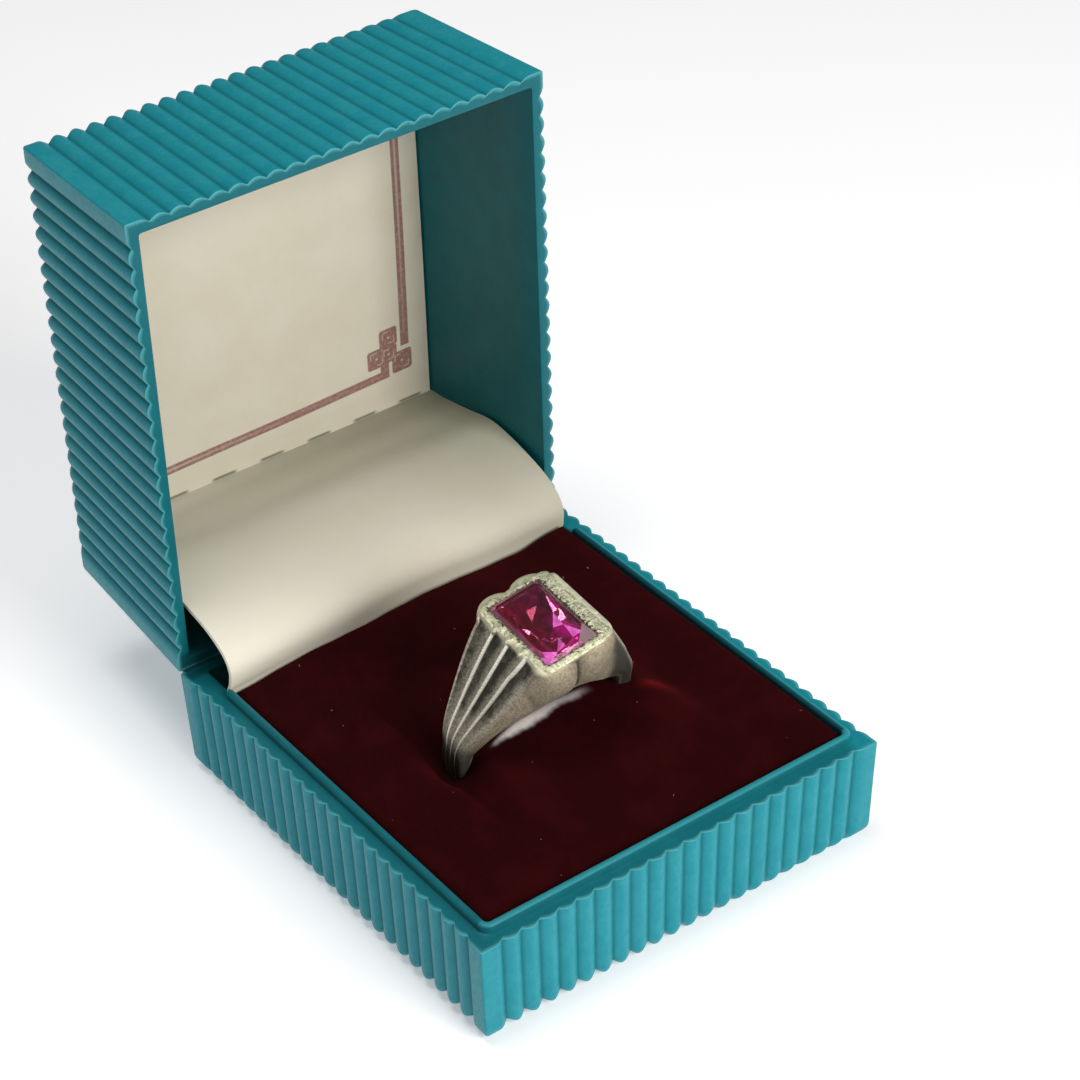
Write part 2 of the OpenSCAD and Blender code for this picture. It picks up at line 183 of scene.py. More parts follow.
class RingSettings(bpy.types.PropertyGroup):
    """The cast silver ring."""

    finger: length("Finger hole", "Diameter of the hole for the finger", 18.2)
    outline: length("Outline radius", "Radius of the shank's outline", 10.5)
    offset: length("Outline offset", "Height of the outline's centre over the hole's", 2.0)
    head_height: length("Head height", "Height of the stone's table over the hole", 14.15)
    head_left: length("Head left", "The head's left edge from the ring's middle", 4.0)
    head_right: length("Head right", "The head's right edge from the ring's middle", 4.7)
    head_half: length("Head half", "Half the head's length along the finger", 6.45)
    shoulder_left: length("Left shoulder", "The straight left shoulder from the hole's middle",
                          11.05)
    shoulder_right: length("Right shoulder",
                           "The straight right shoulder from the hole's middle", 11.5)
    shoulder_half: length("Shoulder half", "Half the shoulders' width at the head", 4.95)
    shank_half: length("Shank half", "Half the shank's width in the pad", 1.6)
    lobe: length("Lobe radius", "Radius of the two lobes at each end of the head", 2.4)
    flute: length("Flute depth", "Depth of the flutes under the head", 0.50)
    lean: angle("Lean", "How far the ring leans forward", 6.2)
    slope: angle("Table slope", "Slope of the stone down to the left", 8.6)
    silver: colour("Silver", "Colour of the rubbed silver", 0.66, 0.62, 0.51)
    # Also the colour of the painted shade low on the ring and on its right shoulder.
    tarnish: colour("Tarnish", "Colour of the oxidised recesses", 0.062, 0.058, 0.046)
    pale: colour("Bezel", "Colour of the pale burnished lip", 0.80, 0.79, 0.56)


class StoneSettings(bpy.types.PropertyGroup):
    """The magenta stone."""

    width: length("Width", "Width of the stone across the finger", 6.2)
    long: length("Length", "Length of the stone along the finger", 9.8)
    crown: length("Crown", "Width of the facets round the table", 0.5)
    depth: length("Depth", "Depth of the facets under the stone's edge", 2.7)
    magenta: colour("Magenta", "Colour of the stone", 0.40, 0.006, 0.17)
    plum: colour("Plum", "Colour of the stone's dark facets", 0.055, 0.005, 0.020)
    wine: colour("Wine", "Colour of the stone's reddish facets", 0.10, 0.001, 0.010)
    pink: colour("Pink", "Colour of the stone's bright facets", 1.0, 0.27, 0.92)


class StageSettings(bpy.types.PropertyGroup):
    """Floor, light and camera."""

    floor: colour("Floor", "Colour of the floor", 0.86, 0.86, 0.87)
    glow: strength("Floor glow", "How far the pale floor lights itself", 0.40)
    world: strength("World light", "Strength of the even light", 0.16)
    key: strength("Key light", "Power of the front lamp, in watts", 2.3)
    top: strength("Top light", "Power of the lamp overhead, in watts", 0.72)


class RingBoxSettings(bpy.types.PropertyGroup):
    """All settings of the ring and its box."""

    box: PointerProperty(type=BoxSettings)
    hinge: PointerProperty(type=HingeSettings)
    lining: PointerProperty(type=LiningSettings)
    pad: PointerProperty(type=PadSettings)
    ring: PointerProperty(type=RingSettings)
    stone: PointerProperty(type=StoneSettings)
    stage: PointerProperty(type=StageSettings)


class Millimetres:
    """Reads a group's lengths in millimetres, and its other settings as they are."""

    def __init__(self, group):
        self.group = group

    def __getattr__(self, name):
        value = getattr(self.group, name)
        kind = self.group.bl_rna.properties[name]
        return value / MM if getattr(kind, "unit", "NONE") == "LENGTH" else value


def settings(name):
    return Millimetres(getattr(bpy.context.scene.ring_box, name))


# Node trees, written as sums.

def node_sign(operation, turned=False):
    """A method of a wire that adds one Math node, with the wire last where it is turned."""
    def add_node(wire, *others):
        values = (*others, wire) if turned else (wire, *others)
        return wire.tree.add("ShaderNodeMath", {"operation": operation}, values)
    return add_node


class Wire:
    """A node's output. Each sign between two of them, or with a number, adds a Math node."""

    __add__, __radd__ = node_sign("ADD"), node_sign("ADD", turned=True)
    __sub__, __rsub__ = node_sign("SUBTRACT"), node_sign("SUBTRACT", turned=True)
    __mul__, __rmul__ = node_sign("MULTIPLY"), node_sign("MULTIPLY", turned=True)
    __truediv__, __pow__ = node_sign("DIVIDE"), node_sign("POWER")
    __gt__, __lt__ = node_sign("GREATER_THAN"), node_sign("LESS_THAN")
    __abs__, cosine = node_sign("ABSOLUTE"), node_sign("COSINE")
    modulo = node_sign("FLOORED_MODULO")
    lowest, highest = node_sign("MINIMUM"), node_sign("MAXIMUM")

    def __init__(self, tree, socket):
        self.tree = tree
        self.socket = socket

    def between(self, low, high, start=0.0, end=1.0):
        """Runs smoothly from start to end while this runs from low to high."""
        return self.tree.add("ShaderNodeMapRange", {"interpolation_type": "SMOOTHSTEP"},
                             {"Value": self, "From Min": low, "From Max": high,
                              "To Min": start, "To Max": end})

    def within(self, rise, fall):
        """1 from the end of the rise to the start of the fall, and 0 outside both."""
        return self.between(*rise) * self.between(*fall, 1.0, 0.0)


class NodeTree:
    """A node tree and the one method that adds a node to it."""

    def __init__(self, tree):
        self.tree = tree

    def add(self, kind, choices=None, values=(), output=0):
        made = self.tree.nodes.new(kind)
        for name, choice in (choices or {}).items():
            setattr(made, name, choice)
        pairs = values.items() if isinstance(values, dict) else enumerate(values)
        for name, value in pairs:
            socket = made.inputs[name]
            if isinstance(value, Wire):
                self.tree.links.new(value.socket, socket)
            else:
                socket.default_value = value
        return Wire(self, made.outputs[output] if len(made.outputs) else None)


class Finish(NodeTree):
    """A material that ends in one Principled shader."""

    def __init__(self, name):
        self.material = bpy.data.materials.new(name)
        self.material.use_nodes = True
        super().__init__(self.material.node_tree)
        self.tree.nodes.clear()
        place = self.add("ShaderNodeTexCoord", output="Object")
        self.place = self.add("ShaderNodeVectorMath", {"operation": "SCALE"},
                              {"Vector": place, "Scale": 1.0 / MM})

    def noise(self, scale, detail=3.0, roughness=0.55, place=None):
        """Cloudy noise between 0 and 1, whose scale is in waves for each millimetre."""
        return self.add("ShaderNodeTexNoise", None,
                        {"Vector": place or self.place, "Scale": scale, "Detail": detail,
                         "Roughness": roughness}, "Fac")

    def stretched(self, x, y, z):
        """The place on the piece with its sides scaled, for a pattern with a grain."""
        return self.add("ShaderNodeMapping", None, {"Vector": self.place, "Scale": (x, y, z)})

    def attribute(self, name):
        return self.add("ShaderNodeAttribute", {"attribute_name": name}, output="Fac")

    def axes(self):
        apart = self.add("ShaderNodeSeparateXYZ", None, (self.place,))
        sockets = apart.socket.node.outputs
        return tuple(Wire(self, sockets[axis]) for axis in "XYZ")

    def mix(self, share, first, second):
        return self.add("ShaderNodeMix", {"data_type": "RGBA"},
                        {0: share, 6: first, 7: second}, output=2)

    def layers(self, base, *layers):
        """Lays colours over a base in turn, each as far as its share."""
        for share, colour in layers:
            base = self.mix(share, base, (*colour[:3], 1.0))
        return base

    def bump(self, height, strength, distance, under=None):
        values = {"Height": height, "Strength": strength, "Distance": distance * MM}
        if under is not None:
            values["Normal"] = under
        return self.add("ShaderNodeBump", None, values)

    def finish(self, **values):
        """Ends the tree in a Principled shader, and gives back the material."""
        named = {name.replace("_", " "): value for name, value in values.items()}
        shader = self.add("ShaderNodeBsdfPrincipled", None, named)
        self.add("ShaderNodeOutputMaterial", None, {"Surface": shader})
        return self.material


def growing_tree(name, inputs):
    """A geometry tree with named inputs, and the wires that carry them."""
    group = bpy.data.node_groups.new(name, "GeometryNodeTree")
    group.interface.new_socket("Geometry", in_out="INPUT", socket_type="NodeSocketGeometry")
    group.interface.new_socket("Geometry", in_out="OUTPUT", socket_type="NodeSocketGeometry")
    for label, kind in inputs:
        group.interface.new_socket(label, in_out="INPUT", socket_type="NodeSocket" + kind)
    tree = NodeTree(group)
    entry = tree.add("NodeGroupInput").socket.node
    return tree, {socket.name: Wire(tree, socket) for socket in entry.outputs if socket.name}


def end_tree(tree, geometry, material):
    """Every tree ends in real faces that carry their material."""
    real = tree.add("GeometryNodeRealizeInstances", None, {"Geometry": geometry})
    dressed = tree.add("GeometryNodeSetMaterial", None,
                       {"Geometry": real, "Material": material})
    tree.add("NodeGroupOutput", None, {"Geometry": dressed})
    return tree.tree


def grow(piece, group, values):
    """Runs a geometry tree on a piece, and keeps the result as its plain mesh."""
    modifier = piece.modifiers.new(group.name, "NODES")
    modifier.node_group = group
    for item in group.interface.items_tree:
        if item.item_type == "SOCKET" and item.name in values:
            modifier[item.identifier] = values[item.name]
    return settle(piece)


def settle(piece):
    """Turns a piece's modifiers into its plain mesh."""
    evaluated = piece.evaluated_get(bpy.context.evaluated_depsgraph_get())
    mesh = bpy.data.meshes.new_from_object(evaluated)
    piece.modifiers.clear()
    old = piece.data
    piece.data = mesh
    mesh.name = piece.name
    bpy.data.meshes.remove(old)
    return piece


# Meshes. All of their points are in millimetres.

def new_object(name, data):
    made = bpy.data.objects.new(name, data)
    bpy.context.collection.objects.link(made)
    return made


def mark(mesh, attributes, domain="POINT"):
    """Stores attributes on a mesh, each one number or one vector for each point or face."""
    for label, values in attributes.items():
        values = np.asarray(values, dtype=np.float32)
        vector = values.ndim == 2
        layer = mesh.attributes.new(label, "FLOAT_VECTOR" if vector else "FLOAT", domain)
        layer.data.foreach_set("vector" if vector else "value", values.ravel())


def make_piece(name, points, faces, material, attributes=None, crease=None):
    mesh = bpy.data.meshes.new(name)
    mesh.from_pydata((np.asarray(points) * MM).tolist(), [], faces)
    mesh.materials.append(material)
    mark(mesh, attributes or {})
    mesh.update()
    shade(mesh, crease)
    return new_object(name, mesh)


def shade(mesh, crease=None):
    """Shades a mesh smoothly, with its edges sharp above the crease's angle."""
    mesh.shade_smooth()
    if crease is not None:
        mesh.set_sharp_from_angle(angle=math.radians(crease))


def loft_faces(rings, size, flip=False, closed=False):
    """Faces of a skin over rings of points, with its ends closed by one face each."""
    faces = []
    for ring in range(rings if closed else rings - 1):
        after = (ring + 1) % rings
        for column in range(size):
            beside = (column + 1) % size
            faces.append((ring * size + column, ring * size + beside,
                          after * size + beside, after * size + column))
    if not closed:
        faces.append(tuple(range(size - 1, -1, -1)))
        faces.append(tuple((rings - 1) * size + column for column in range(size)))
    return [face[::-1] for face in faces] if flip else faces


def prisms(name, solids, material, crease=None):
    """Several solids in one piece, each a skin over its own row of outlines."""
    points, faces = [], []
    for outlines in solids:
        first = len(points)
        points += [point for outline in outlines for point in outline]
        faces += [tuple(first + corner for corner in face)
                  for face in loft_faces(len(outlines), len(outlines[0]))]
    return face_outward(make_piece(name, points, faces, material, crease=crease))


def rework(piece, *changes):
    """Runs changes on a piece's mesh, each given the bmesh that holds it."""
    work = bmesh.new()
    work.from_mesh(piece.data)
    for change in changes:
        change(work)
    work.to_mesh(piece.data)
    work.free()
    return piece


def face_outward(piece):
    return rework(piece, lambda work: bmesh.ops.recalc_face_normals(work, faces=work.faces))


def tidy_mesh(piece, gap=1e-4 * MM):
    """Joins points that coincide, and drops the faces that had no area."""
    rework(piece, lambda work: bmesh.ops.remove_doubles(work, verts=work.verts, dist=gap),
           lambda work: bmesh.ops.dissolve_degenerate(work, edges=work.edges, dist=gap))
    shade(piece.data)


def cut(piece, cutter, crease=None):
    """Cuts the cutter's shape out of a piece, and drops the cutter."""
    modifier = piece.modifiers.new("cut", "BOOLEAN")
    modifier.operation = "DIFFERENCE"
    modifier.solver = "MANIFOLD"
    modifier.object = cutter
    settle(piece)
    bpy.data.objects.remove(cutter)
    shade(piece.data, crease)


def smooth_step(low, high, value):
    share = np.clip((np.asarray(value, dtype=float) - low) / (high - low), 0.0, 1.0)
    return share * share * (3.0 - 2.0 * share)


def soft_min(first, second, blend):
    """The lower of two values, with the corner between them rounded."""
    share = np.clip(0.5 + 0.5 * (second - first) / blend, 0.0, 1.0)
    return second * (1 - share) + first * share - blend * share * (1 - share)


def soft_max(first, second, blend):
    return -soft_min(-first, -second, blend)


def wobble(points, scale, seed):
    """Smooth noise between about -1 and 1 at each point."""
    shift = Vector((seed * 17.3, seed * 5.1, seed * 11.7))
    return np.array([noise.noise(Vector(point) * scale + shift) for point in points])


def follow(knots, shares):
    """Points on a smooth curve through the knots, at shares of its length."""
    knots = np.asarray(knots, dtype=float)
    ends = np.vstack([2 * knots[0] - knots[1], knots, 2 * knots[-1] - knots[-2]])
    fine = []
    for index in range(len(knots) - 1):
        a, b, c, d = ends[index:index + 4]
        for t in np.linspace(0.0, 1.0, 24, endpoint=False):
            fine.append(0.5 * (2 * b + (c - a) * t + (2 * a - 5 * b + 4 * c - d) * t * t
                               + (3 * b - a - 3 * c + d) * t ** 3))
    fine = np.array(fine + [knots[-1]])
    run = np.concatenate([[0.0], np.cumsum(np.linalg.norm(np.diff(fine, axis=0), axis=1))])
    wanted = np.asarray(shares) * run[-1]
    return np.column_stack([np.interp(wanted, run, column) for column in fine.T])


# The ribbed box. The bands and edges are measured from the rim, and the cap is the flat face.

RIB_STEPS = 10
CORNER_RADIUS = 0.2
CORNER_STEPS = 5
RIM_ROUND = 0.1
RIM_LAND = 1.0
GROOVE_END = 1.0
COLLAR_RADIUS = 1.05
INNER_RADIUS = 0.45
LID_INNER_RADIUS = 0.3
COLLAR_STEPS = 9
COLLAR_FOOT = ((-0.12, 0.0), (-0.03, 0.05), (0.0, 0.14))
BEAD_SQUASH = 0.8
BACK_BAND = 1.6
CAP_MARGIN = 0.8
WORN_EDGE = 0.16
CAP_ROOM = 0.3
ROUND_STEPS = 9
RIM_STEPS = 3
SHELL_CREASE = 38


def box_columns(box):
    """The columns of points round the box: each one's side, its distance along that side
    from the corner, and its share of the turn at the side's end."""
    columns = []
    start = box.corner_block - box.rib_pitch / 2
    for side in range(4):
        span = box.depth if side % 2 else box.width
        ribs = round((span - 2 * start) / box.rib_pitch)
        inner = start + np.arange(ribs * RIB_STEPS + 1) * box.rib_pitch / RIB_STEPS
        along = np.concatenate([[CORNER_RADIUS, (CORNER_RADIUS + start) / 2], inner,
                                [span - (CORNER_RADIUS + start) / 2, span - CORNER_RADIUS]])
        columns += [(side, value, 0.0) for value in along]
        columns += [(side, span, (step + 1) / (CORNER_STEPS + 1))
                    for step in range(CORNER_STEPS)]
    return np.array(columns)


def side_spans(columns, box):
    """Length of the side that each column is on."""
    return np.where(columns[:, 0].astype(int) % 2, box.depth, box.width)


def box_loop(columns, box, x0, x1, y0, y1, radius):
    """The columns' places on a rounded rectangle, and which way is inward there."""
    side = columns[:, 0].astype(int)
    spans = side_spans(columns, box)
    share = np.clip((columns[:, 1] - CORNER_RADIUS) / (spans - 2 * CORNER_RADIUS), 0, 1)
    corners = np.array([[x0, y0], [x1, y0], [x1, y1], [x0, y1]])
    first, last = corners[side], corners[(side + 1) % 4]
    ahead = (last - first) / np.linalg.norm(last - first, axis=1)[:, None]
    inward = np.column_stack([-ahead[:, 1], ahead[:, 0]])
    start, end = first + ahead * radius, last - ahead * radius
    places = start + (end - start) * share[:, None]
    turning = columns[:, 2] > 0
    bend = columns[:, 2] * math.pi / 2
    centre = last + (inward - ahead) * radius
    out = ahead * np.sin(bend)[:, None] - inward * np.cos(bend)[:, None]
    places = np.where(turning[:, None], centre + out * radius, places)
    inward = np.where(turning[:, None], -out, inward)
    return places, inward


def rib_group():
    """Sinks sharp grooves into a wall, so that a row of round ribs is left between them, and
    ends each groove short of the rounded edge, so that each rib ends like a fingertip."""
    tree, given = growing_tree("Ribs", [("Rib Pitch", "Float"), ("Rib Depth", "Float"),
                                        ("First Rib", "Float"), ("Groove End", "Float"),
                                        ("Plastic", "Material")])
    def read(name, kind="FLOAT"):
        return tree.add("GeometryNodeInputNamedAttribute", {"data_type": kind},
                        {"Name": name})
    along = read("rib_along")
    start = given["First Rib"]
    inside = (along > start) * (along < read("rib_span") - start)
    wave = (1 - abs(((along - start) / given["Rib Pitch"] * math.pi).cosine())) * inside
    dip = wave * read("rib_share") * given["Rib Depth"]
    offset = tree.add("ShaderNodeVectorMath", {"operation": "SCALE"},
                      {"Vector": read("rib_inward", "FLOAT_VECTOR"), "Scale": dip})
    rise = tree.add("ShaderNodeCombineXYZ", None,
                    {"Z": wave * read("rib_lift") * given["Groove End"]})
    both = tree.add("ShaderNodeVectorMath", {"operation": "ADD"}, (offset, rise))
    moved = tree.add("GeometryNodeSetPosition", None,
                     {"Geometry": given["Geometry"], "Offset": both})
    kept = tree.add("GeometryNodeStoreNamedAttribute", {"data_type": "FLOAT"},
                    {"Geometry": moved, "Name": "groove",
                     "Value": dip / given["Rib Depth"]})
    return end_tree(tree, kept, given["Plastic"])


def ribbed_shell(name, rings, columns, box, material, flip):
    """Skins the rings of one shell and lets the ribs be cut into its outer wall."""
    count = len(columns)
    last = max(index for index, ring in enumerate(rings) if ring[3])
    rim = float(rings[last][2])
    hinge_side = columns[:, 0] == 2
    points, inward = [], []
    share, lift, outside, edge = np.zeros((4, len(rings), count))
    for index, (rectangle, radius, heights, ribbed, lifted) in enumerate(rings):
        places, inner = box_loop(columns, box, *rectangle, radius)
        heights = np.broadcast_to(heights, count)
        points.append(np.column_stack([places, heights]))
        inward.append(np.column_stack([inner, np.zeros(count)]))
        plain = hinge_side & (abs(float(heights[0]) - rim) < BACK_BAND - 0.2)
        share[index] = np.where(plain, 0.0, ribbed)
        lift[index] = lifted
        outside[index] = index <= last
        edge[index] = last - 2 <= index <= last
    attributes = {"rib_along": np.tile(columns[:, 1] * MM, len(rings)),
                  "rib_span": np.tile(side_spans(columns, box) * MM, len(rings)),
                  "rib_inward": np.vstack(inward), "rib_share": share.ravel(),
                  "rib_lift": lift.ravel(), "outside": outside.ravel(), "edge": edge.ravel()}
    shell = make_piece(name, np.vstack(points), loft_faces(len(rings), count, flip),
                       material, attributes)
    grow(shell, rib_group(), {"Rib Pitch": box.rib_pitch * MM, "Rib Depth": box.rib_depth * MM,
                              "First Rib": (box.corner_block - box.rib_pitch / 2) * MM,
                              "Groove End": GROOVE_END * MM, "Plastic": material})
    for spent in [label for label in attributes if label.startswith("rib_")]:
        shell.data.attributes.remove(shell.data.attributes[spent])
    tidy_mesh(shell)
    outer = np.empty(len(shell.data.vertices), dtype=np.float32)
    shell.data.attributes["outside"].data.foreach_get("value", outer)
    mark(shell.data, {"faded": [outer[list(face.vertices)].min() > 0.5
                                for face in shell.data.polygons]}, "FACE")
    return shell


def inset(box, by):
    half_x, half_y = box.width / 2 - by, box.depth / 2 - by
    return (-half_x, half_x, -half_y, half_y)


def quarter(steps):
    return np.linspace(0.0, math.pi / 2, steps + 1)


def outer_rings(box, height, draft, wall_steps, rim, way):
    """A shell's outside, from the middle of its flat face, round the edge and along its wall
    to the flat of its rim. The way is 1 where the shell stands over its rim, and -1 under it.
    Each ring has its rectangle, corner radius, height, and shares of the ribs and their lift."""
    rings, radius = [], box.edge_radius
    cap = radius + draft * height + box.rib_depth + CAP_ROOM

    def ring(by, up, ribs=0, lift=0):
        rings.append((inset(box, by), CORNER_RADIUS, rim + way * up, ribs, lift))

    ring(cap + CAP_MARGIN, height)
    ring(cap, height)
    for bend in quarter(ROUND_STEPS):
        up = height - radius * (1 - math.cos(bend))
        ring(draft * up + radius * (1 - math.sin(bend)), up, 1, -way * math.cos(bend))
    for up in (*np.linspace(height - radius, BACK_BAND, wall_steps)[1:], BACK_BAND - 0.5,
               RIM_ROUND + WORN_EDGE, RIM_ROUND):
        ring(draft * up, up, 1)
    for bend in quarter(RIM_STEPS)[1:]:
        ring(RIM_ROUND * (1 - math.cos(bend)), RIM_ROUND * (1 - math.sin(bend)), 1)
    ring(RIM_LAND, 0)
    return rings


def base_rings(box, columns):
    """The base from the middle of its underside, up the wall, over the collar, to its floor."""
    height = box.base_height
    rings = outer_rings(box, height, box.base_draft, 4, height, way=-1)
    places, _ = box_loop(columns, box, *inset(box, 0.0), CORNER_RADIUS)
    collar = 1 - smooth_step(box.collar_back - 0.1, box.collar_back + 0.1, places[:, 1])
    bead = box.collar_thick / 2
    half = box.width / 2 - box.ledge
    front = -box.depth / 2 + box.ledge
    back = box.depth / 2 - box.wall
    profile = list(COLLAR_FOOT)
    top = box.collar_height - bead * BEAD_SQUASH
    for bend in np.linspace(0.0, math.pi, COLLAR_STEPS):
        profile.append((bead * (1 - math.cos(bend)), top + bead * BEAD_SQUASH * math.sin(bend)))
    for by, rise in profile:
        narrower = (COLLAR_RADIUS - INNER_RADIUS) * by / (2 * bead)
        rings.append(((-half + by, half - by, front + by, back + 0.1 - 0.02 * by),
                      COLLAR_RADIUS - narrower, height + rise * collar, 0, 0))
    inner = half - 2 * bead
    for z in (height - 0.6, box.floor + 0.5, box.floor):
        rings.append(((-inner, inner, front + 2 * bead, back), INNER_RADIUS, z, 0, 0))
    return rings


def lid_rings(box, rim):
    """The closed lid from the middle of its top, down the outside, and up its inside."""
    height, draft, wall = box.lid_height, box.lid_draft, box.wall
    deep, round_in = height - box.roof, 0.6
    inside = [(wall - 0.1, 0.0), (wall - 0.03, 0.03), (wall, 0.1)]
    inside += [(wall + draft * up, up) for up in np.linspace(0.1, deep - round_in, 5)[1:]]
    inside += [(wall + draft * deep + round_in * (1 - math.cos(bend)),
                deep - round_in * (1 - math.sin(bend))) for bend in quarter(4)[1:]]
    return outer_rings(box, height, draft, 5, rim, way=1) + [
        (inset(box, by), LID_INNER_RADIUS, rim + up, 0, 0) for by, up in inside]


def teal_plastic(box):
    """Moulded plastic, paler outside: an orange peel, cloudy colour, rubbed crests, painted shade
    and dust in the grooves. The rims and the inside keep a deeper colour, with painted light on the
    right rim, a painted highlight on the front bead, and painted shade in the gaps beside the
    velvet and at the hinge."""
    tree = Finish("teal_moulded_plastic")
    groove = tree.attribute("groove")
    cloud = tree.noise(0.35, 4.0)
    grain = tree.noise(3.2, 5.0, 0.65, tree.stretched(1.0, 1.0, 0.45))
    rubbed = (0.45 - groove).highest(0.0) * tree.noise(1.4, 6.0, 0.7).between(0.45, 0.75)
    dust = groove * tree.noise(5.5, 4.0, 0.7).between(0.6, 0.8)
    outer = tree.layers(
        tuple(box.plastic), (cloud.between(0.3, 0.7, 0.0, 0.28), box.plastic_worn),
        (rubbed * 0.7, box.plastic_worn),
        (grain.between(0.4, 0.72, 0.0, 0.22), (0.006, 0.14, 0.17)),
        # Painted shade darkens the grooves; the dust in them is lighter.
        (groove.between(0.45, 1.0) * 0.55, (0.003, 0.105, 0.130)),
        (dust * 0.2, (0.14, 0.33, 0.35)))
    x, y, z = tree.axes()
    under_top = z.between(12.9, 13.5, 1.0, 0.0)
    # Painted light on the right rim.
    right_rim_light = x.between(20.5, 22.0) * z.between(11.0, 11.6) * under_top
    # Painted shade in the gap beside the velvet at the front right.
    right_gap_shade = x.within((20.5, 21.0), (21.5, 21.8)) * y.between(-23.4, -22.9) * under_top
    # Painted highlight along the top of the collar's bead at the front.
    front_bead_highlight = y.between(-23.2, -22.9, 1.0, 0.0) * z.within((12.55, 12.8), (12.95, 13.5))
    # Painted shade between base and lid along the hinge.
    hinge_line_shade = y.between(23.6, 24.6) * z.within((10.8, 11.6), (13.6, 14.4))
    inner = tree.layers(
        tuple(box.plastic_deep), (cloud.between(0.35, 0.7, 0.0, 0.3), (0.010, 0.175, 0.205)),
        (right_rim_light * 0.8, box.plastic), (right_gap_shade * 0.85, (0.001, 0.018, 0.024)),
        (front_bead_highlight * 0.5, box.plastic_worn), (hinge_line_shade * 0.7, (0.002, 0.045, 0.056)))
    worn = tree.attribute("edge").between(0.55, 1.0) * grain.between(0.25, 0.5, 0.4, 1.0)
    base = tree.layers(tree.mix(tree.attribute("faded"), inner, outer),
                       (worn * 0.45, (0.13, 0.44, 0.48)))
    rough = grain.between(0.2, 0.8, 0.30, 0.46) + rubbed * 0.12
    peel = tree.bump(tree.noise(2.4, 3.0), 0.28, 0.08)
    fine = tree.bump(tree.noise(9.0, 3.0, 0.6), 0.16, 0.02, peel)
    return tree.finish(Base_Color=base, Roughness=rough, Normal=fine, IOR=1.47,
                       Specular_IOR_Level=0.20)


def knuckle_pitch(hinge):
    return hinge.barrel / hinge.knuckles


def room_cutter(hinge, parity, axis_y, axis_z, wall):
    """Room for one body's knuckles, as deep as the wall."""
    inner, room, pitch = axis_y - wall - 0.3, hinge.room, knuckle_pitch(hinge)
    outline = [(inner, axis_z + room), (inner, axis_z - room)]
    outline += [(axis_y + room * math.cos(bend), axis_z + room * math.sin(bend))
                for bend in np.linspace(-math.pi / 2, math.pi / 2, 17)]
    solids = []
    for index in range(parity, hinge.knuckles, 2):
        start = -hinge.barrel / 2 + index * pitch - hinge.gap / 2
        solids.append([[(x, y, z) for y, z in outline]
                       for x in (start, start + pitch + hinge.gap)])
    return prisms("room_cutter", solids, bpy.data.materials[0])


def hinge_axis():
    pin_low, pin_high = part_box("hinge_pin")
    middle = (Vector(pin_low) + Vector(pin_high)) / 2
    return middle.y / MM, middle.z / MM


def open_lid(piece):
    """Turns a piece of the closed lid back about the hinge, in its mesh."""
    axis_y, axis_z = hinge_axis()
    axis = Matrix.Translation((0, axis_y * MM, axis_z * MM))
    piece.data.transform(axis @ Matrix.Rotation(-math.pi / 2, 4, "X") @ axis.inverted())


class RINGBOX_OT_shells(bpy.types.Operator):
    """Build the ribbed base and the ribbed lid"""

    bl_idname = "ringbox.shells"
    bl_label = "Ribbed Shells"

    def execute(self, context):
        box, hinge = settings("box"), settings("hinge")
        plastic = teal_plastic(box)
        columns = box_columns(box)
        axis_y, axis_z = hinge_axis()
        base = ribbed_shell("ribbed_base", base_rings(box, columns), columns, box,
                            plastic, flip=False)
        cut(base, room_cutter(hinge, 1, axis_y, axis_z, box.wall), SHELL_CREASE)
        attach(base, "base")
        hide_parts("base_shell")
        rim = 2 * axis_z - box.base_height
        lid = ribbed_shell("ribbed_lid", lid_rings(box, rim), columns, box, plastic, flip=True)
        cut(lid, room_cutter(hinge, 0, axis_y, axis_z, box.wall), SHELL_CREASE)
        open_lid(lid)
        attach(lid, "lid")
        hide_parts("lid_shell")
        return {"FINISHED"}


# The hinge. A strip's outline is given from the hinge's axis, back and up.

KNUCKLE_SIDES = 40
KNUCKLE_CHAMFER = 0.14
STRIP_OUTLINE = ((-0.55, -0.85), (0.35, -0.85), (0.62, -0.70), (0.75, -0.45), (0.72, -0.20),
                 (0.55, -0.08), (-0.12, -0.08), (-0.55, -0.12))


def knuckle_group():
    """Sets copies of a knuckle in a row along the hinge."""
    tree, given = growing_tree("Knuckle Row", [("Count", "Int"), ("Pitch", "Float"),
                                               ("Plastic", "Material")])
    step = tree.add("ShaderNodeCombineXYZ", None, (given["Pitch"],))
    line = tree.add("GeometryNodeMeshLine", {"mode": "OFFSET"},
                    {"Count": given["Count"], "Offset": step})
    placed = tree.add("GeometryNodeInstanceOnPoints", None,
                      {"Points": line, "Instance": given["Geometry"]})
    return end_tree(tree, placed, given["Plastic"])


def knuckle_row(name, hinge, parity, axis_y, axis_z, material):
    """One body's knuckles: the first is turned from a profile, and the others are copies."""
    pitch = knuckle_pitch(hinge)
    start = -hinge.barrel / 2 + parity * pitch + hinge.gap / 2
    long, chamfer = pitch - hinge.gap, KNUCKLE_CHAMFER
    profile = [(chamfer, hinge.bore), (0.0, hinge.bore + chamfer),
               (0.0, hinge.radius - chamfer), (0.3 * chamfer, hinge.radius - 0.3 * chamfer),
               (chamfer, hinge.radius)]
    profile += [(long - x, r) for x, r in profile[::-1]]
    points = []
    for side in range(KNUCKLE_SIDES):
        bend = side * math.tau / KNUCKLE_SIDES
        points += [(start + x, r * math.cos(bend), r * math.sin(bend)) for x, r in profile]
    faces = loft_faces(KNUCKLE_SIDES, len(profile), closed=True)
    row = face_outward(make_piece(name, points, faces, material))
    count = len(range(parity, hinge.knuckles, 2))
    grow(row, knuckle_group(), {"Count": count, "Pitch": 2 * pitch * MM, "Plastic": material})
    row.data.transform(Matrix.Translation((0, axis_y * MM, axis_z * MM)))
    shade(row.data, 35)
    return row


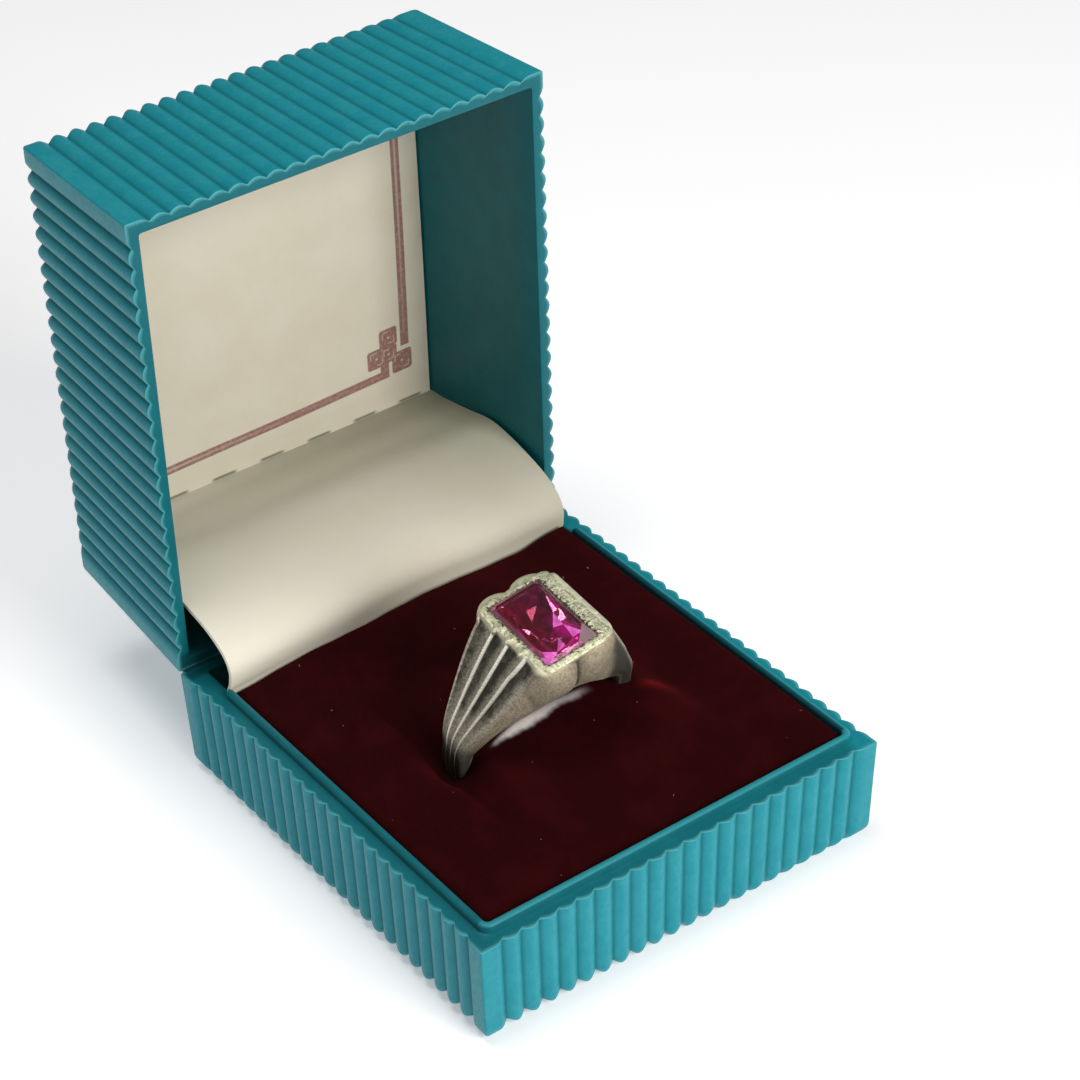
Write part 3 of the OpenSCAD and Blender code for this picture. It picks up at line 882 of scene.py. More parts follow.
def hinge_strips(box, hinge, axis_y, axis_z, material):
    """Short strips on the base's back wall beside the knuckles, just under the lid."""
    near, far = hinge.barrel / 2 + 0.02, box.width / 2 - 0.55
    solids = []
    for side in (-1, 1):
        solids.append([[(side * x, axis_y + y * shrink, axis_z + z * shrink - 0.12 * (1 - shrink))
                        for y, z in STRIP_OUTLINE]
                       for x, shrink in ((near, 1.0), (far - 0.2, 1.0), (far, 0.7))])
    return prisms("hinge_strips", solids, material, crease=40)


def pin_steel(hinge):
    """Drawn wire: lengthwise marks and a little brown at its ends."""
    tree = Finish("drawn_steel")
    marks = tree.noise(6.0, 4.0, 0.6, tree.stretched(0.15, 3.0, 3.0))
    x, _, _ = tree.axes()
    rust = abs(x).between(17.0, 21.0) * tree.noise(2.5, 5.0, 0.7).between(0.45, 0.65)
    base = tree.layers(tuple(hinge.steel), (marks.between(0.3, 0.7, 0.0, 0.5), (0.33, 0.33, 0.34)),
                       (rust * 0.6, (0.16, 0.07, 0.03)))
    return tree.finish(Base_Color=base, Metallic=1.0,
                       Roughness=marks.between(0.2, 0.8, 0.22, 0.42) + rust * 0.3,
                       Normal=tree.bump(marks, 0.2, 0.02))


class RINGBOX_OT_hinge(bpy.types.Operator):
    """Build both rows of knuckles, and finish the pin"""

    bl_idname = "ringbox.hinge"
    bl_label = "Hinge"

    def execute(self, context):
        box, hinge = settings("box"), settings("hinge")
        plastic = bpy.data.materials["teal_moulded_plastic"]
        axis_y, axis_z = hinge_axis()
        for parity, body in enumerate(("base", "lid")):
            row = knuckle_row(body + "_knuckles", hinge, parity, axis_y, axis_z, plastic)
            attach(row, body)
            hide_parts(body + "_shell")
        strips = hinge_strips(box, hinge, axis_y, axis_z, plastic)
        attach(strips, "base")
        pin = frame["nodes"]["hinge_pin"]
        steel = pin_steel(hinge)
        for place in pin.material_slots:
            place.material = steel
        return {"FINISHED"}


# The card lining. Its flap's knots are distances behind the box's back and over its rim.

FLAP_RIGHT = [(19.85, 5.1), (17.4, 5.2), (13.3, 5.95), (8.8, 6.85), (5.4, 6.6), (2.1, 5.9),
              (-1.2, 4.9), (-3.3, 3.6), (-4.05, 2.2), (-4.0, 0.7), (-3.95, -0.5), (-3.95, -2.2)]
FLAP_LEFT = [(19.85, 5.1), (17.2, 5.25), (13.0, 6.1), (8.5, 7.05), (4.6, 7.2), (0.8, 6.9),
             (-2.8, 6.2), (-5.6, 4.9), (-6.7, 3.3), (-6.5, 1.6), (-5.9, 0.2), (-5.6, -2.2)]
FLAP_ROWS = 72
FLAP_COLUMNS = 64
FLAP_HALF = 21.6
TUCKED_HALF = 20.9
CARD_ROWS = 90
FOLD_DASH = 6.0
FIRST_DASH = -8.45
DASH_HEIGHT = 17.42
PRINT_LOW = 21.2
PRINT_HIGH = 58.4
PRINT_HALF = 18.25


def flap_front(x):
    """How far back the flap's front lies where it meets the pad, at each distance across."""
    share = smooth_step(-21.0, 1.0, x)
    return 20.05 + 1.5 * share + 0.12 * np.sin(np.asarray(x) * 0.33)


def sheet_skin(upper, lower, rows, columns):
    """A closed skin over the two faces of a thin sheet, each rows by columns."""
    count = rows * columns
    faces = []
    for row in range(rows - 1):
        for column in range(columns - 1):
            a = row * columns + column
            quad = (a, a + 1, a + columns + 1, a + columns)
            faces.append(quad)
            faces.append(tuple(count + corner for corner in quad[::-1]))
    border = list(range(columns))
    border += [row * columns + columns - 1 for row in range(1, rows)]
    border += [(rows - 1) * columns + column for column in range(columns - 2, -1, -1)]
    border += [row * columns for row in range(rows - 2, 0, -1)]
    for index, corner in enumerate(border):
        after = border[(index + 1) % len(border)]
        faces.append((after, corner, count + corner, count + after))
    return np.vstack([upper, lower]), faces


def thick_sheet(name, middle, thickness, material):
    """A sheet of even thickness on a grid of middle points."""
    rows, columns = middle.shape[:2]
    along = np.gradient(middle, axis=0)
    across = np.gradient(middle, axis=1)
    normal = np.cross(across, along)
    normal /= np.linalg.norm(normal, axis=2)[:, :, None]
    half = normal * thickness / 2
    points, faces = sheet_skin((middle + half).reshape(-1, 3), (middle - half).reshape(-1, 3),
                               rows, columns)
    along_u, along_v = np.meshgrid(np.linspace(0, 1, columns), np.linspace(0, 1, rows))
    both = {"card_u": np.tile(along_u.ravel(), 2), "card_v": np.tile(along_v.ravel(), 2)}
    return face_outward(make_piece(name, points, faces, material, both, crease=50))


def card_base(tree, lining):
    """Cream card: fibres, faint stains, a little darker at its side edges."""
    fibre = tree.noise(7.0, 6.0, 0.7)
    cloud = tree.noise(0.11, 4.0, 0.6)
    fleck = tree.noise(4.5, 2.0, 0.5).between(0.70, 0.78)
    from_middle = abs(tree.attribute("card_u") - 0.5) * 2.0
    darker_sides = from_middle.between(0.93, 1.0) * cloud.between(0.3, 0.6)
    base = tree.layers(
        tuple(lining.cream), (cloud.between(0.35, 0.7, 0.0, 0.5), (0.60, 0.53, 0.39)),
        (fibre.between(0.35, 0.75, 0.0, 0.16), (0.78, 0.75, 0.66)),
        (fleck * 0.22, (0.36, 0.30, 0.20)), (darker_sides * 0.25, (0.42, 0.36, 0.25)))
    relief = tree.bump(fibre, 0.22, 0.05)
    return base, tree.bump(tree.noise(0.5, 3.0), 0.2, 0.25, relief)


def rounded_box(x, y, half_x, half_y, radius):
    """Distance outside a rounded rectangle, less than 0 inside it."""
    over_x = (abs(x) - (half_x - radius)).highest(0.0)
    over_y = (abs(y) - (half_y - radius)).highest(0.0)
    return (over_x * over_x + over_y * over_y) ** 0.5 - radius


def inked(distance, blur=0.07):
    """1 where a distance is below 0, with a printed line's soft edge."""
    return distance.between(-blur, blur, 1.0, 0.0)


# Loops of the knot, from the corner where the border's two bands would meet: toward the
# card's middle and up, with half the size of each.
KNOT_LOOPS = ((0.45, 0.95, 1.28), (2.1, 4.5, 1.15), (3.7, 2.4, 1.20))
KNOT_MIDDLE = (2.1, 2.4, 1.05)
BAND_HALF = 0.50


def corner_knot(across, up):
    """The old knot ornament at a border's corner: three looped squares round a crossing."""
    ink, light = None, None
    for x, y, half in (*KNOT_LOOPS, KNOT_MIDDLE):
        square = rounded_box(across - x, up - y, half, half, 0.34)
        eye = rounded_box(across - x, up - y, 0.14, 0.14, 0.13)
        thread = abs(rounded_box(across - x, up - y, half - 0.42, half - 0.42, 0.2)) - 0.05
        ink = square if ink is None else ink.lowest(square)
        light = eye if light is None else light.lowest(eye)
        light = light.lowest(thread.highest(abs(across - up - x + y) - 0.75))
    return inked(ink), inked(light, 0.06)


def printed_border(tree):
    """Double lines along the card's four sides, joined by a knot in each corner."""
    x, _, z = tree.axes()
    middle, half_up = (PRINT_LOW + PRINT_HIGH) / 2, (PRINT_HIGH - PRINT_LOW) / 2
    up = half_up - abs(z - x * 0.025 - middle)
    across = PRINT_HALF + (z - PRINT_LOW) * 0.008 - abs(x)
    knot, light = corner_knot(across, up)
    upright = abs(across)
    bar_up = (upright - BAND_HALF - 0.04).highest(2.75 - up)
    bar_across = (abs(up) - BAND_HALF).highest(2.15 - across)
    link = (abs(across - 2.7) - 0.55).highest(abs(up - 0.6) - 0.9)
    ink = inked(bar_up.lowest(bar_across).lowest(link)).highest(knot)
    pale = inked((upright - 0.12).highest(4.4 - up), 0.13) * z.between(24.0, 50.0, 0.15, 0.6)
    lower = inked((abs(up) - 0.11).highest(3.4 - across), 0.13) * x.between(-17.0, 6.0, 0.65, 0.1)
    pale = pale.highest(lower)
    worn = tree.noise(2.2, 5.0, 0.7).between(0.25, 0.6, 0.72, 1.0)
    return ink * (1 - pale.highest(light * 0.65)) * worn


def card_material(lining, name, printed):
    tree = Finish(name)
    base, relief = card_base(tree, lining)
    if not printed:
        across = tree.attribute("card_u")
        # Painted shade on the flap just under its fold.
        fold_shade = tree.attribute("card_v").between(0.02, 0.24, 0.65, 0.0)
        # Painted light toward the flap's left, and painted shade toward its right by the lid's
        # wall.
        base = tree.layers(
            base, (across.between(0.0, 0.7, 0.75, 0.15), (0.86, 0.82, 0.69)),
            (across.between(0.55, 1.0, 0.0, 0.6), (0.42, 0.42, 0.32)),
            (fold_shade * across.between(0.2, 0.9, 0.4, 1.0), (0.26, 0.26, 0.18)))
    else:
        x, _, z = tree.axes()
        dash = (x - FIRST_DASH).modulo(FOLD_DASH) - FOLD_DASH / 2
        mark = inked(abs(dash) - FOLD_DASH * 0.24, 0.35)
        mark = mark * inked(abs(z - DASH_HEIGHT) - 0.17, 0.14)
        base = tree.layers(base, (printed_border(tree) * 0.92, lining.print_colour),
                           (mark * 0.80, (0.075, 0.068, 0.048)))
    return tree.finish(Base_Color=base, Roughness=0.72, Normal=relief,
                       Specular_IOR_Level=0.3)


class RINGBOX_OT_lining(bpy.types.Operator):
    """Build the cream card in the lid and its flap over the hinge"""

    bl_idname = "ringbox.lining"
    bl_label = "Card Lining"

    def execute(self, context):
        box, lining = settings("box"), settings("lining")
        back, rim = box.depth / 2, box.base_height
        thick = lining.thickness
        fold_z = rim + lining.fold
        card_y = back + FLAP_RIGHT[0][0]
        across, up = np.meshgrid(np.linspace(-1, 1, FLAP_COLUMNS), np.linspace(0, 1, CARD_ROWS))
        warp = 0.14 * (1 - across ** 4) * np.sin(math.pi * up) + 0.05 * np.sin(5 * across + 7 * up)
        middle = np.dstack([across * lining.half_width, card_y + 0.12 - warp,
                            fold_z + (lining.top - fold_z) * up])
        card = thick_sheet("lid_card", middle, thick,
                           card_material(lining, "printed_card", True))
        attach(card, "lid")
        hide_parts("lid_panel")

        shares = np.linspace(0, 1, FLAP_ROWS)
        right = follow(FLAP_RIGHT, shares)
        left = follow(FLAP_LEFT, shares)
        x = np.linspace(-1, 1, FLAP_COLUMNS) * FLAP_HALF
        lean = 1 - smooth_step(-24.0, 4.0, x)
        profile = right[:, None, :] + (left - right)[:, None, :] * lean[None, :, None]
        depth, height = profile[:, :, 0], profile[:, :, 1]
        nose = np.exp(-((depth + 3.2) / 3.0) ** 2)
        depth = depth + nose * 0.22 * np.sin(x * 0.33 + 0.6)[None, :]
        height = height + 0.10 * np.sin(x * 0.21 + 1.0)[None, :] * np.sin(math.pi * shares)[:, None]
        low = smooth_step(-0.2, 0.9, -height)
        narrow = 1 - low * (1 - TUCKED_HALF / FLAP_HALF)
        middle = np.dstack([x[None, :] * narrow, back + depth, rim + height])
        flap = thick_sheet("card_flap", middle, thick,
                           card_material(lining, "plain_card", False))
        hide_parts("hinge_flap")
        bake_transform(flap)
        return {"FINISHED"}


# The ring stands in the pad. These place its own frame, whose middle is the finger hole's.

RING_LEFT = 0.7
RING_FORWARD = 3.4
RING_FLOOR_GAP = 0.3


def shank_radius(ring):
    return math.sqrt(ring.outline ** 2 - ring.offset ** 2)


def ring_place(ring):
    """From the ring's own frame to the box's, in millimetres."""
    height = settings("box").floor + RING_FLOOR_GAP + shank_radius(ring)
    return (Matrix.Translation((-RING_LEFT, -RING_FORWARD, height))
            @ Matrix.Rotation(ring.lean, 4, "X"))


def table_place(ring):
    """From the frame of the stone's table to the box's, in millimetres."""
    return (ring_place(ring) @ Matrix.Translation((0, 0, ring.head_height))
            @ Matrix.Rotation(-ring.slope, 4, "Y"))


def moved(points, place):
    """Points put through a placing matrix."""
    matrix = np.array(place)
    return np.asarray(points) @ matrix[:3, :3].T + matrix[:3, 3]


# The velvet pad. Its places are in the box's frame.

PAD_HALF = 21.1
PAD_FRONT = -23.2
PAD_MIDDLE = -1.0
PAD_HALF_DEEP = 22.2
TONGUE_LEFT = -11.7
TONGUE_RIGHT = 12.6
PAD_COLUMNS = 190
PAD_ROWS = 200
RAISED_EDGE = 0.42
EDGE_ROLL = 0.7
PAD_CORNER = 0.15
LINT_DEPTH = 44.0
FOOT_HOLLOWS = ((-1, 1.9), (1, 0.8))
# Middle and heading of the painted red sheen on the velvet right of the shank.
SHEEN_AT = (10.9, -7.0)
SHEEN_TURN = (0.81, 0.58)


def tongue_height(x, y):
    """Height of the tongue over the pad, from 0 to 1."""
    along = np.where(y < -6.0, smooth_step(-18.0, -6.5, y), 1 - smooth_step(-1.0, 9.5, y))
    left = smooth_step(TONGUE_LEFT - 0.6, TONGUE_LEFT + 3.0, x)
    edge = TONGUE_RIGHT + 0.12 * (-y - 3.0)
    right = 1 - smooth_step(edge - 3.2, edge + 0.5, x)
    return along * left * right


def pad_height(x, y, pad):
    """Height of the velvet over the box's underside."""
    u, v = x / PAD_HALF, (y - PAD_MIDDLE) / PAD_HALF_DEEP
    height = pad.edge + pad.crown * (1 - np.abs(u) ** 4) * (1 - np.abs(v) ** 4)
    height += pad.tongue * tongue_height(x, y)
    crease = np.exp(-((x - TONGUE_LEFT + 0.3) / 0.35) ** 2) * smooth_step(-15, -9, y)
    height -= 0.22 * crease * (1 - smooth_step(6.0, 10.0, y))
    height += 0.10 * np.sin(0.23 * x + 0.31 * y + 1.2) * np.sin(0.17 * y - 0.11 * x)
    height += 0.05 * np.sin(0.9 * x - 0.2 * y) * np.sin(0.35 * y + 0.4 * x + 2.0)
    for side, deep in FOOT_HOLLOWS:
        height -= deep * foot_hollow(x, y, side)
    return height


def foot_hollow(x, y, side):
    """Share of the hollow that one side of the shank presses into the velvet."""
    far = np.hypot((x + RING_LEFT - side * 10.3) / 1.7, (y + RING_FORWARD) / 2.8)
    return np.exp(-far ** 2)


# The far edge of the gleam: places across the box, and how far forward it lies at each.
GLEAM_ACROSS = (-8.1, -5.9, -3.4, -1.3, 0.2, 1.3, 2.6, 4.2, 5.4)
GLEAM_FAR = (-5.5, -5.4, -5.55, -5.25, -4.85, -4.5, -4.75, -4.6, -4.7)


def ring_gleam(x, y):
    """The crescent of light that the ring's polished inside throws on the velvet under it."""
    near = -3.72 - 0.045 * np.minimum(x + 1.8, 0) ** 2 + 0.3 * smooth_step(-3.0, 1.5, x)
    ragged = 0.06 * np.sin(2.9 * x + 1.1 * y) + 0.04 * np.sin(7.1 * x - 2.0)
    far = np.interp(x, GLEAM_ACROSS, GLEAM_FAR) + ragged
    ends = smooth_step(-8.3, -6.6, x) * (1 - smooth_step(3.2, 5.6, x))
    dim = (1 - 0.5 * smooth_step(-3.5, 3.0, x)) * (0.7 + 0.3 * smooth_step(0.0, 0.9, near - y))
    return smooth_step(-0.1, 0.4, near - y) * smooth_step(-0.25, 0.6, y - far) * ends * dim


def velvet(pad):
    """Velvet: short pile with a red sheen, in patches where the pile lies over, with a painted red
    sheen right of the shank, a crescent of painted light that glows under the ring, and painted
    shade in the hollows round the shank's feet.
    """
    tree = Finish("maroon_velvet")
    pile = tree.noise(11.0, 4.0, 0.75)
    tuft = tree.noise(3.0, 5.0, 0.7)
    brushed = tree.noise(0.16, 4.0, 0.6)
    gleam = tree.attribute("gleam") * tuft.between(0.35, 0.6, 0.85, 1.0)
    base = tree.layers(
        tuple(pad.velvet), (brushed.between(0.42, 0.66, 0.0, 0.55), pad.velvet_light),
        (tuft.between(0.5, 0.75, 0.0, 0.35), pad.velvet_light),
        (pile.between(0.3, 0.6, 0.5, 0.0), (0.010, 0.001, 0.0018)),
        # Painted red sheen right of the shank.
        (tree.attribute("brushed") * 0.7, (0.15, 0.006, 0.005)),
        (gleam * 0.9, (0.56, 0.52, 0.48)),
        # Painted shade in the hollows round the shank's feet.
        (tree.attribute("hollow") * 0.8, (0.004, 0.0008, 0.001)))
    glow = tree.layers((0.0, 0.0, 0.0, 1.0), (gleam, (0.29, 0.275, 0.26)))
    relief = tree.bump(pile, 0.7, 0.09)
    relief = tree.bump(tuft, 0.35, 0.12, relief)
    return tree.finish(Base_Color=base, Roughness=0.92, Normal=relief,
                       Specular_IOR_Level=0.04, Sheen_Weight=0.06, Sheen_Roughness=0.45,
                       Sheen_Tint=(0.85, 0.06, 0.08, 1.0), Emission_Color=glow,
                       Emission_Strength=1.0)


def lint_group():
    """Scatters specks of lint over the velvet's upper side."""
    tree, given = growing_tree("Lint", [("Speck", "Object"), ("Density", "Float"),
                                        ("Seed", "Int"), ("Fibre", "Material")])
    normal = tree.add("GeometryNodeInputNormal")
    up = Wire(tree, tree.add("ShaderNodeSeparateXYZ", None, (normal,)).socket.node.outputs["Z"])
    scatter = tree.add("GeometryNodeDistributePointsOnFaces", None,
                       {"Mesh": given["Geometry"], "Selection": up > 0.9,
                        "Density": given["Density"], "Seed": given["Seed"]})
    turn = tree.add("FunctionNodeRandomValue", {"data_type": "FLOAT_VECTOR"},
                    {"Min": (-0.5, -0.5, 0.0), "Max": (0.5, 0.5, math.tau),
                     "Seed": given["Seed"]})
    size = tree.add("FunctionNodeRandomValue", {"data_type": "FLOAT"},
                    {2: 0.25, 3: 0.7, "Seed": given["Seed"]}, output=1)
    speck = tree.add("GeometryNodeObjectInfo", None, {"Object": given["Speck"]},
                     output="Geometry")
    placed = tree.add("GeometryNodeInstanceOnPoints", None,
                      {"Points": scatter, "Instance": speck, "Rotation": turn, "Scale": size})
    return end_tree(tree, placed, given["Fibre"])


def lint_speck(material):
    """One curl of fibre, as a thin bent tube."""
    sides, steps = 5, 7
    points = []
    for step in range(steps):
        t = step / (steps - 1)
        thin = 0.045 * math.sin(math.pi * (0.12 + 0.76 * t))
        centre = Vector((0.55 * (t - 0.5), 0.16 * math.sin(3.2 * t), 0.05 + 0.05 * t))
        for side in range(sides):
            bend = side * math.tau / sides
            points.append((centre.x, centre.y + thin * math.cos(bend),
                           centre.z + thin * math.sin(bend)))
    faces = loft_faces(steps, sides, flip=True)
    return make_piece("speck_source", points, faces, material)


class RINGBOX_OT_pad(bpy.types.Operator):
    """Build the velvet pad and the lint on it"""

    bl_idname = "ringbox.pad"
    bl_label = "Velvet Pad"

    def execute(self, context):
        pad, box = settings("pad"), settings("box")
        u, v = np.meshgrid(np.linspace(-1, 1, PAD_COLUMNS), np.linspace(0, 1, PAD_ROWS))
        x = PAD_HALF * u
        back = flap_front(x) - 0.35
        y = PAD_FRONT + (back - PAD_FRONT) * v
        edge = np.minimum.reduce([PAD_HALF - np.abs(x), y - PAD_FRONT, back - y])
        full = smooth_step(15.0, 20.0, x)
        roll = EDGE_ROLL * (1 - 0.5 * full)
        drop = roll * (1 - np.sqrt(1 - (1 - np.clip(edge / roll, 0, 1)) ** 2)) - RAISED_EDGE * full
        z = pad_height(x, y, pad) - drop
        corner = np.clip(1 - np.hypot(PAD_HALF - np.abs(x), y - PAD_FRONT) / 0.8, 0, 1)
        x, y = x - PAD_CORNER * corner * np.sign(x), y + PAD_CORNER * corner
        upper = np.dstack([x, y, z]).reshape(-1, 3)
        lower = np.column_stack([upper[:, 0], upper[:, 1],
                                 np.full(len(upper), box.floor + 0.02)])
        points, faces = sheet_skin(upper, lower, PAD_ROWS, PAD_COLUMNS)
        beside, before = x - SHEEN_AT[0], y - SHEEN_AT[1]
        ahead, aside = SHEEN_TURN
        far = np.hypot((ahead * beside - aside * before) / 1.7,
                       (aside * beside + ahead * before) / 0.9).ravel()
        # Where painted shade darkens the velvet round the shank's feet.
        hollow = np.maximum(foot_hollow(x, y, -1), 0.8 * foot_hollow(x, y, 1)).ravel()
        marks = {"brushed": np.tile(np.exp(-far ** 2), 2), "hollow": np.tile(hollow, 2),
                 "gleam": np.tile(ring_gleam(x, y).ravel(), 2)}
        cushion = make_piece("velvet_cushion", points, faces, velvet(pad), marks, crease=70)
        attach(cushion, "base")
        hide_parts("velvet_pad")

        tree = Finish("lint")
        fibre = tree.layers((0.62, 0.55, 0.50, 1.0),
                            (tree.noise(0.6, 2.0).between(0.4, 0.6), (0.34, 0.12, 0.12)))
        material = tree.finish(Base_Color=fibre, Roughness=0.8)
        source = lint_speck(material)
        specks = new_object("lint_specks", cushion.data.copy())
        density = pad.specks / (2 * PAD_HALF * MM * LINT_DEPTH * MM)
        grow(specks, lint_group(), {"Speck": source, "Density": density, "Seed": pad.seed,
                                    "Fibre": material})
        bpy.data.objects.remove(source)
        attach(specks, "base")
        return {"FINISHED"}


# The silver ring. The flutes' ends are shares of its half width, and the floors are measured
# from the stone's table.

FLUTES = 4
FLUTES_FRONT = -0.86
FLUTES_BACK = 0.92
FLUTE_STEPS = 24
RIDGE_WALL = 0.90
FLARE_FROM = 3.0
FLARE_TO = 13.5
LOBE_MIDDLE = 1.9
BORE_EDGE = 0.22
SEAT_ROOM = 0.08
SEAT_LEDGE = 0.6
POCKET_FLOOR = -0.85
WINDOW_FLOOR = -9.0
CUT_TOP = 2.0
RING_CREASE = 36


def round_reach(ring, bend):
    """Reach of the shank's round outline along a ray that leaves the top by this angle."""
    sine, cosine = np.sin(bend), np.cos(bend)
    above = ring.offset * cosine + np.sqrt(ring.outline ** 2 - (ring.offset * sine) ** 2)
    return np.where(cosine < 0, shank_radius(ring), above)


def table_reach(ring, bend):
    """Reach of the plane of the stone's table along a ray near the top."""
    return ring.head_height / (np.cos(bend) - math.tan(ring.slope) * np.sin(bend))


def straight_reach(ring, bend):
    """Reach of the straight shoulder that runs up to the head's edge on the ray's side."""
    reach = np.empty_like(bend)
    for side, edge, away in ((-1, ring.head_left, ring.shoulder_left),
                             (1, ring.head_right, ring.shoulder_right)):
        corner = math.atan(edge / (ring.head_height + side * math.tan(ring.slope) * edge))
        square = corner + math.acos(away / table_reach(ring, side * corner))
        here = (bend > 0) == (side > 0)
        reach[here] = away / np.maximum(np.cos(np.abs(bend[here]) - square), 0.3)
    return reach


def outer_reach(ring, bend):
    """Reach of the ring's outside: round shank, straight shoulders and flat head."""
    bend = np.atleast_1d(np.asarray(bend, dtype=float))
    straight = straight_reach(ring, bend)
    shoulder = soft_min(straight, round_reach(ring, bend), 0.5)
    near = smooth_step(math.radians(38), math.radians(52), np.abs(bend))
    reach = straight * (1 - near) + shoulder * near
    top = np.abs(bend) < math.radians(40)
    reach[top] = soft_min(reach[top], table_reach(ring, bend[top]), 0.15)
    return reach


def flare(height):
    """Share of the way from the shank's width to the shoulders', at this height."""
    share = np.clip((height - FLARE_FROM) / (FLARE_TO - FLARE_FROM), 0, 1)
    return 1 - (1 - share ** 1.2) ** 1.7


def half_width(ring, bend, slack=0.68):
    """Half the ring's width outside and at the bore, along a ray. The slack draws out the
    side of each lobe that runs down the shoulder."""
    bend = np.atleast_1d(np.asarray(bend, dtype=float))
    reach = outer_reach(ring, bend)
    shoulder = ring.shank_half + (ring.shoulder_half - ring.shank_half) * flare(
        reach * np.cos(bend))
    beyond = np.abs(reach * np.sin(bend)) - LOBE_MIDDLE
    beside = np.where(beyond > 0, slack * beyond, -beyond)
    lobe = ring.head_half - ring.lobe + np.sqrt(np.maximum(ring.lobe ** 2 - beside ** 2, 0))
    lobe = np.where((beside < ring.lobe) & (np.cos(bend) > 0), lobe, 0)
    return soft_max(shoulder, lobe, 0.9), shoulder


def flute_fade(bend):
    """Share of the flutes' depth along the shoulder."""
    degrees = np.abs(np.degrees(bend))
    later = 6.0 * (np.asarray(bend) > 0)
    return smooth_step(15.6 + later, 17 + later, degrees) * (1 - smooth_step(45, 95, degrees))


def flute_phase(share):
    """Number of the flute at each share of the width, and how far back in it that lies."""
    across = np.clip((share - FLUTES_FRONT) / (FLUTES_BACK - FLUTES_FRONT), 0, 0.9999) * FLUTES
    return across, across % 1


def flute_wave(share):
    """Depth of the flutes: each rises slowly to the ridge before it, and falls off steeply
    from the ridge behind it."""
    across, phase = flute_phase(share)
    phase = np.where(across < 1, phase ** 1.5, phase)
    wave = np.minimum(smooth_step(0.0, RIDGE_WALL, phase), (1 - phase) / (1 - RIDGE_WALL))
    return wave * np.where(across > FLUTES - 1, 0.6, 1.0)


def ring_angles():
    head = np.arange(0, 21, 0.5)
    shoulder = np.arange(21, 100, 1.0)
    shank = np.arange(100, 180, 2.5)
    half = np.radians(np.concatenate([head, shoulder, shank]))
    return np.concatenate([half, [math.pi], -half[:0:-1]])


def ring_section(ring, bend):
    """One section as points across the outside, down the back, and out of the bore."""
    half, narrow = (float(value[0]) for value in half_width(ring, bend))
    back_half = float(half_width(ring, bend, slack=1.0)[0][0])
    top = float(outer_reach(ring, bend)[0])
    spread = float(flare(top * math.cos(bend)))
    front_wide, front_deep = 0.42 + 1.25 * spread, 0.45 + 1.15 * spread
    back_wide, back_deep = 0.36 + 0.55 * spread, 0.36 + 0.35 * spread
    low = ring.finger / 2
    shares = np.concatenate([-np.cos(np.linspace(0, 0.52, 9)[:-1]),
                             np.linspace(FLUTES_FRONT, FLUTES_BACK, FLUTES * FLUTE_STEPS + 1),
                             np.cos(np.linspace(0, 0.40, 7)[:-1])[::-1]])
    place = shares * np.where(shares < 0, half, back_half)
    over_front = np.clip((front_wide - (place + half)) / front_wide, 0, 1)
    over_back = np.clip((back_wide - (back_half - place)) / back_wide, 0, 1)
    depth = ring.flute * float(flute_fade(bend)) * (0.25 + 0.75 * narrow / ring.shoulder_half)
    crown = 0.12 * (1 - spread) * shares ** 2
    reach = (top - depth * flute_wave(shares) - crown
             - front_deep * (1 - np.sqrt(1 - over_front ** 2))
             - back_deep * (1 - np.sqrt(1 - over_back ** 2)))
    line = list(zip(place, reach))
    narrow -= 0.1
    end = low + BORE_EDGE
    for sign, wide, start in ((1, back_half, float(reach[-1])), (-1, half, float(reach[0]))):
        side = [(sign * (wide + (narrow - wide) * t * t + 0.18 * spread * math.sin(math.pi * t)),
                 start + (end - start) * t) for t in np.linspace(0, 1, 13)[1:]]
        side += [(sign * (narrow - BORE_EDGE * (1 - math.cos(t))), end - BORE_EDGE * math.sin(t))
                 for t in quarter(4)[1:]]
        if sign > 0:
            line += side
            edge = narrow - BORE_EDGE
            line += [(y, low - 0.06 * (1 - (y / edge) ** 2))
                     for y in np.linspace(edge, -edge, 12)[1:-1]]
        else:
            line += side[::-1]
    return line


def block(name, place, half_x, half_y, low, high):
    """A plain block in the table's frame, to cut with."""
    corners = [(x, y, z) for z in (low, high) for x, y in
               ((-half_x, -half_y), (half_x, -half_y), (half_x, half_y), (-half_x, half_y))]
    return make_piece(name, moved(corners, place), loft_faces(2, 4), bpy.data.materials[0])


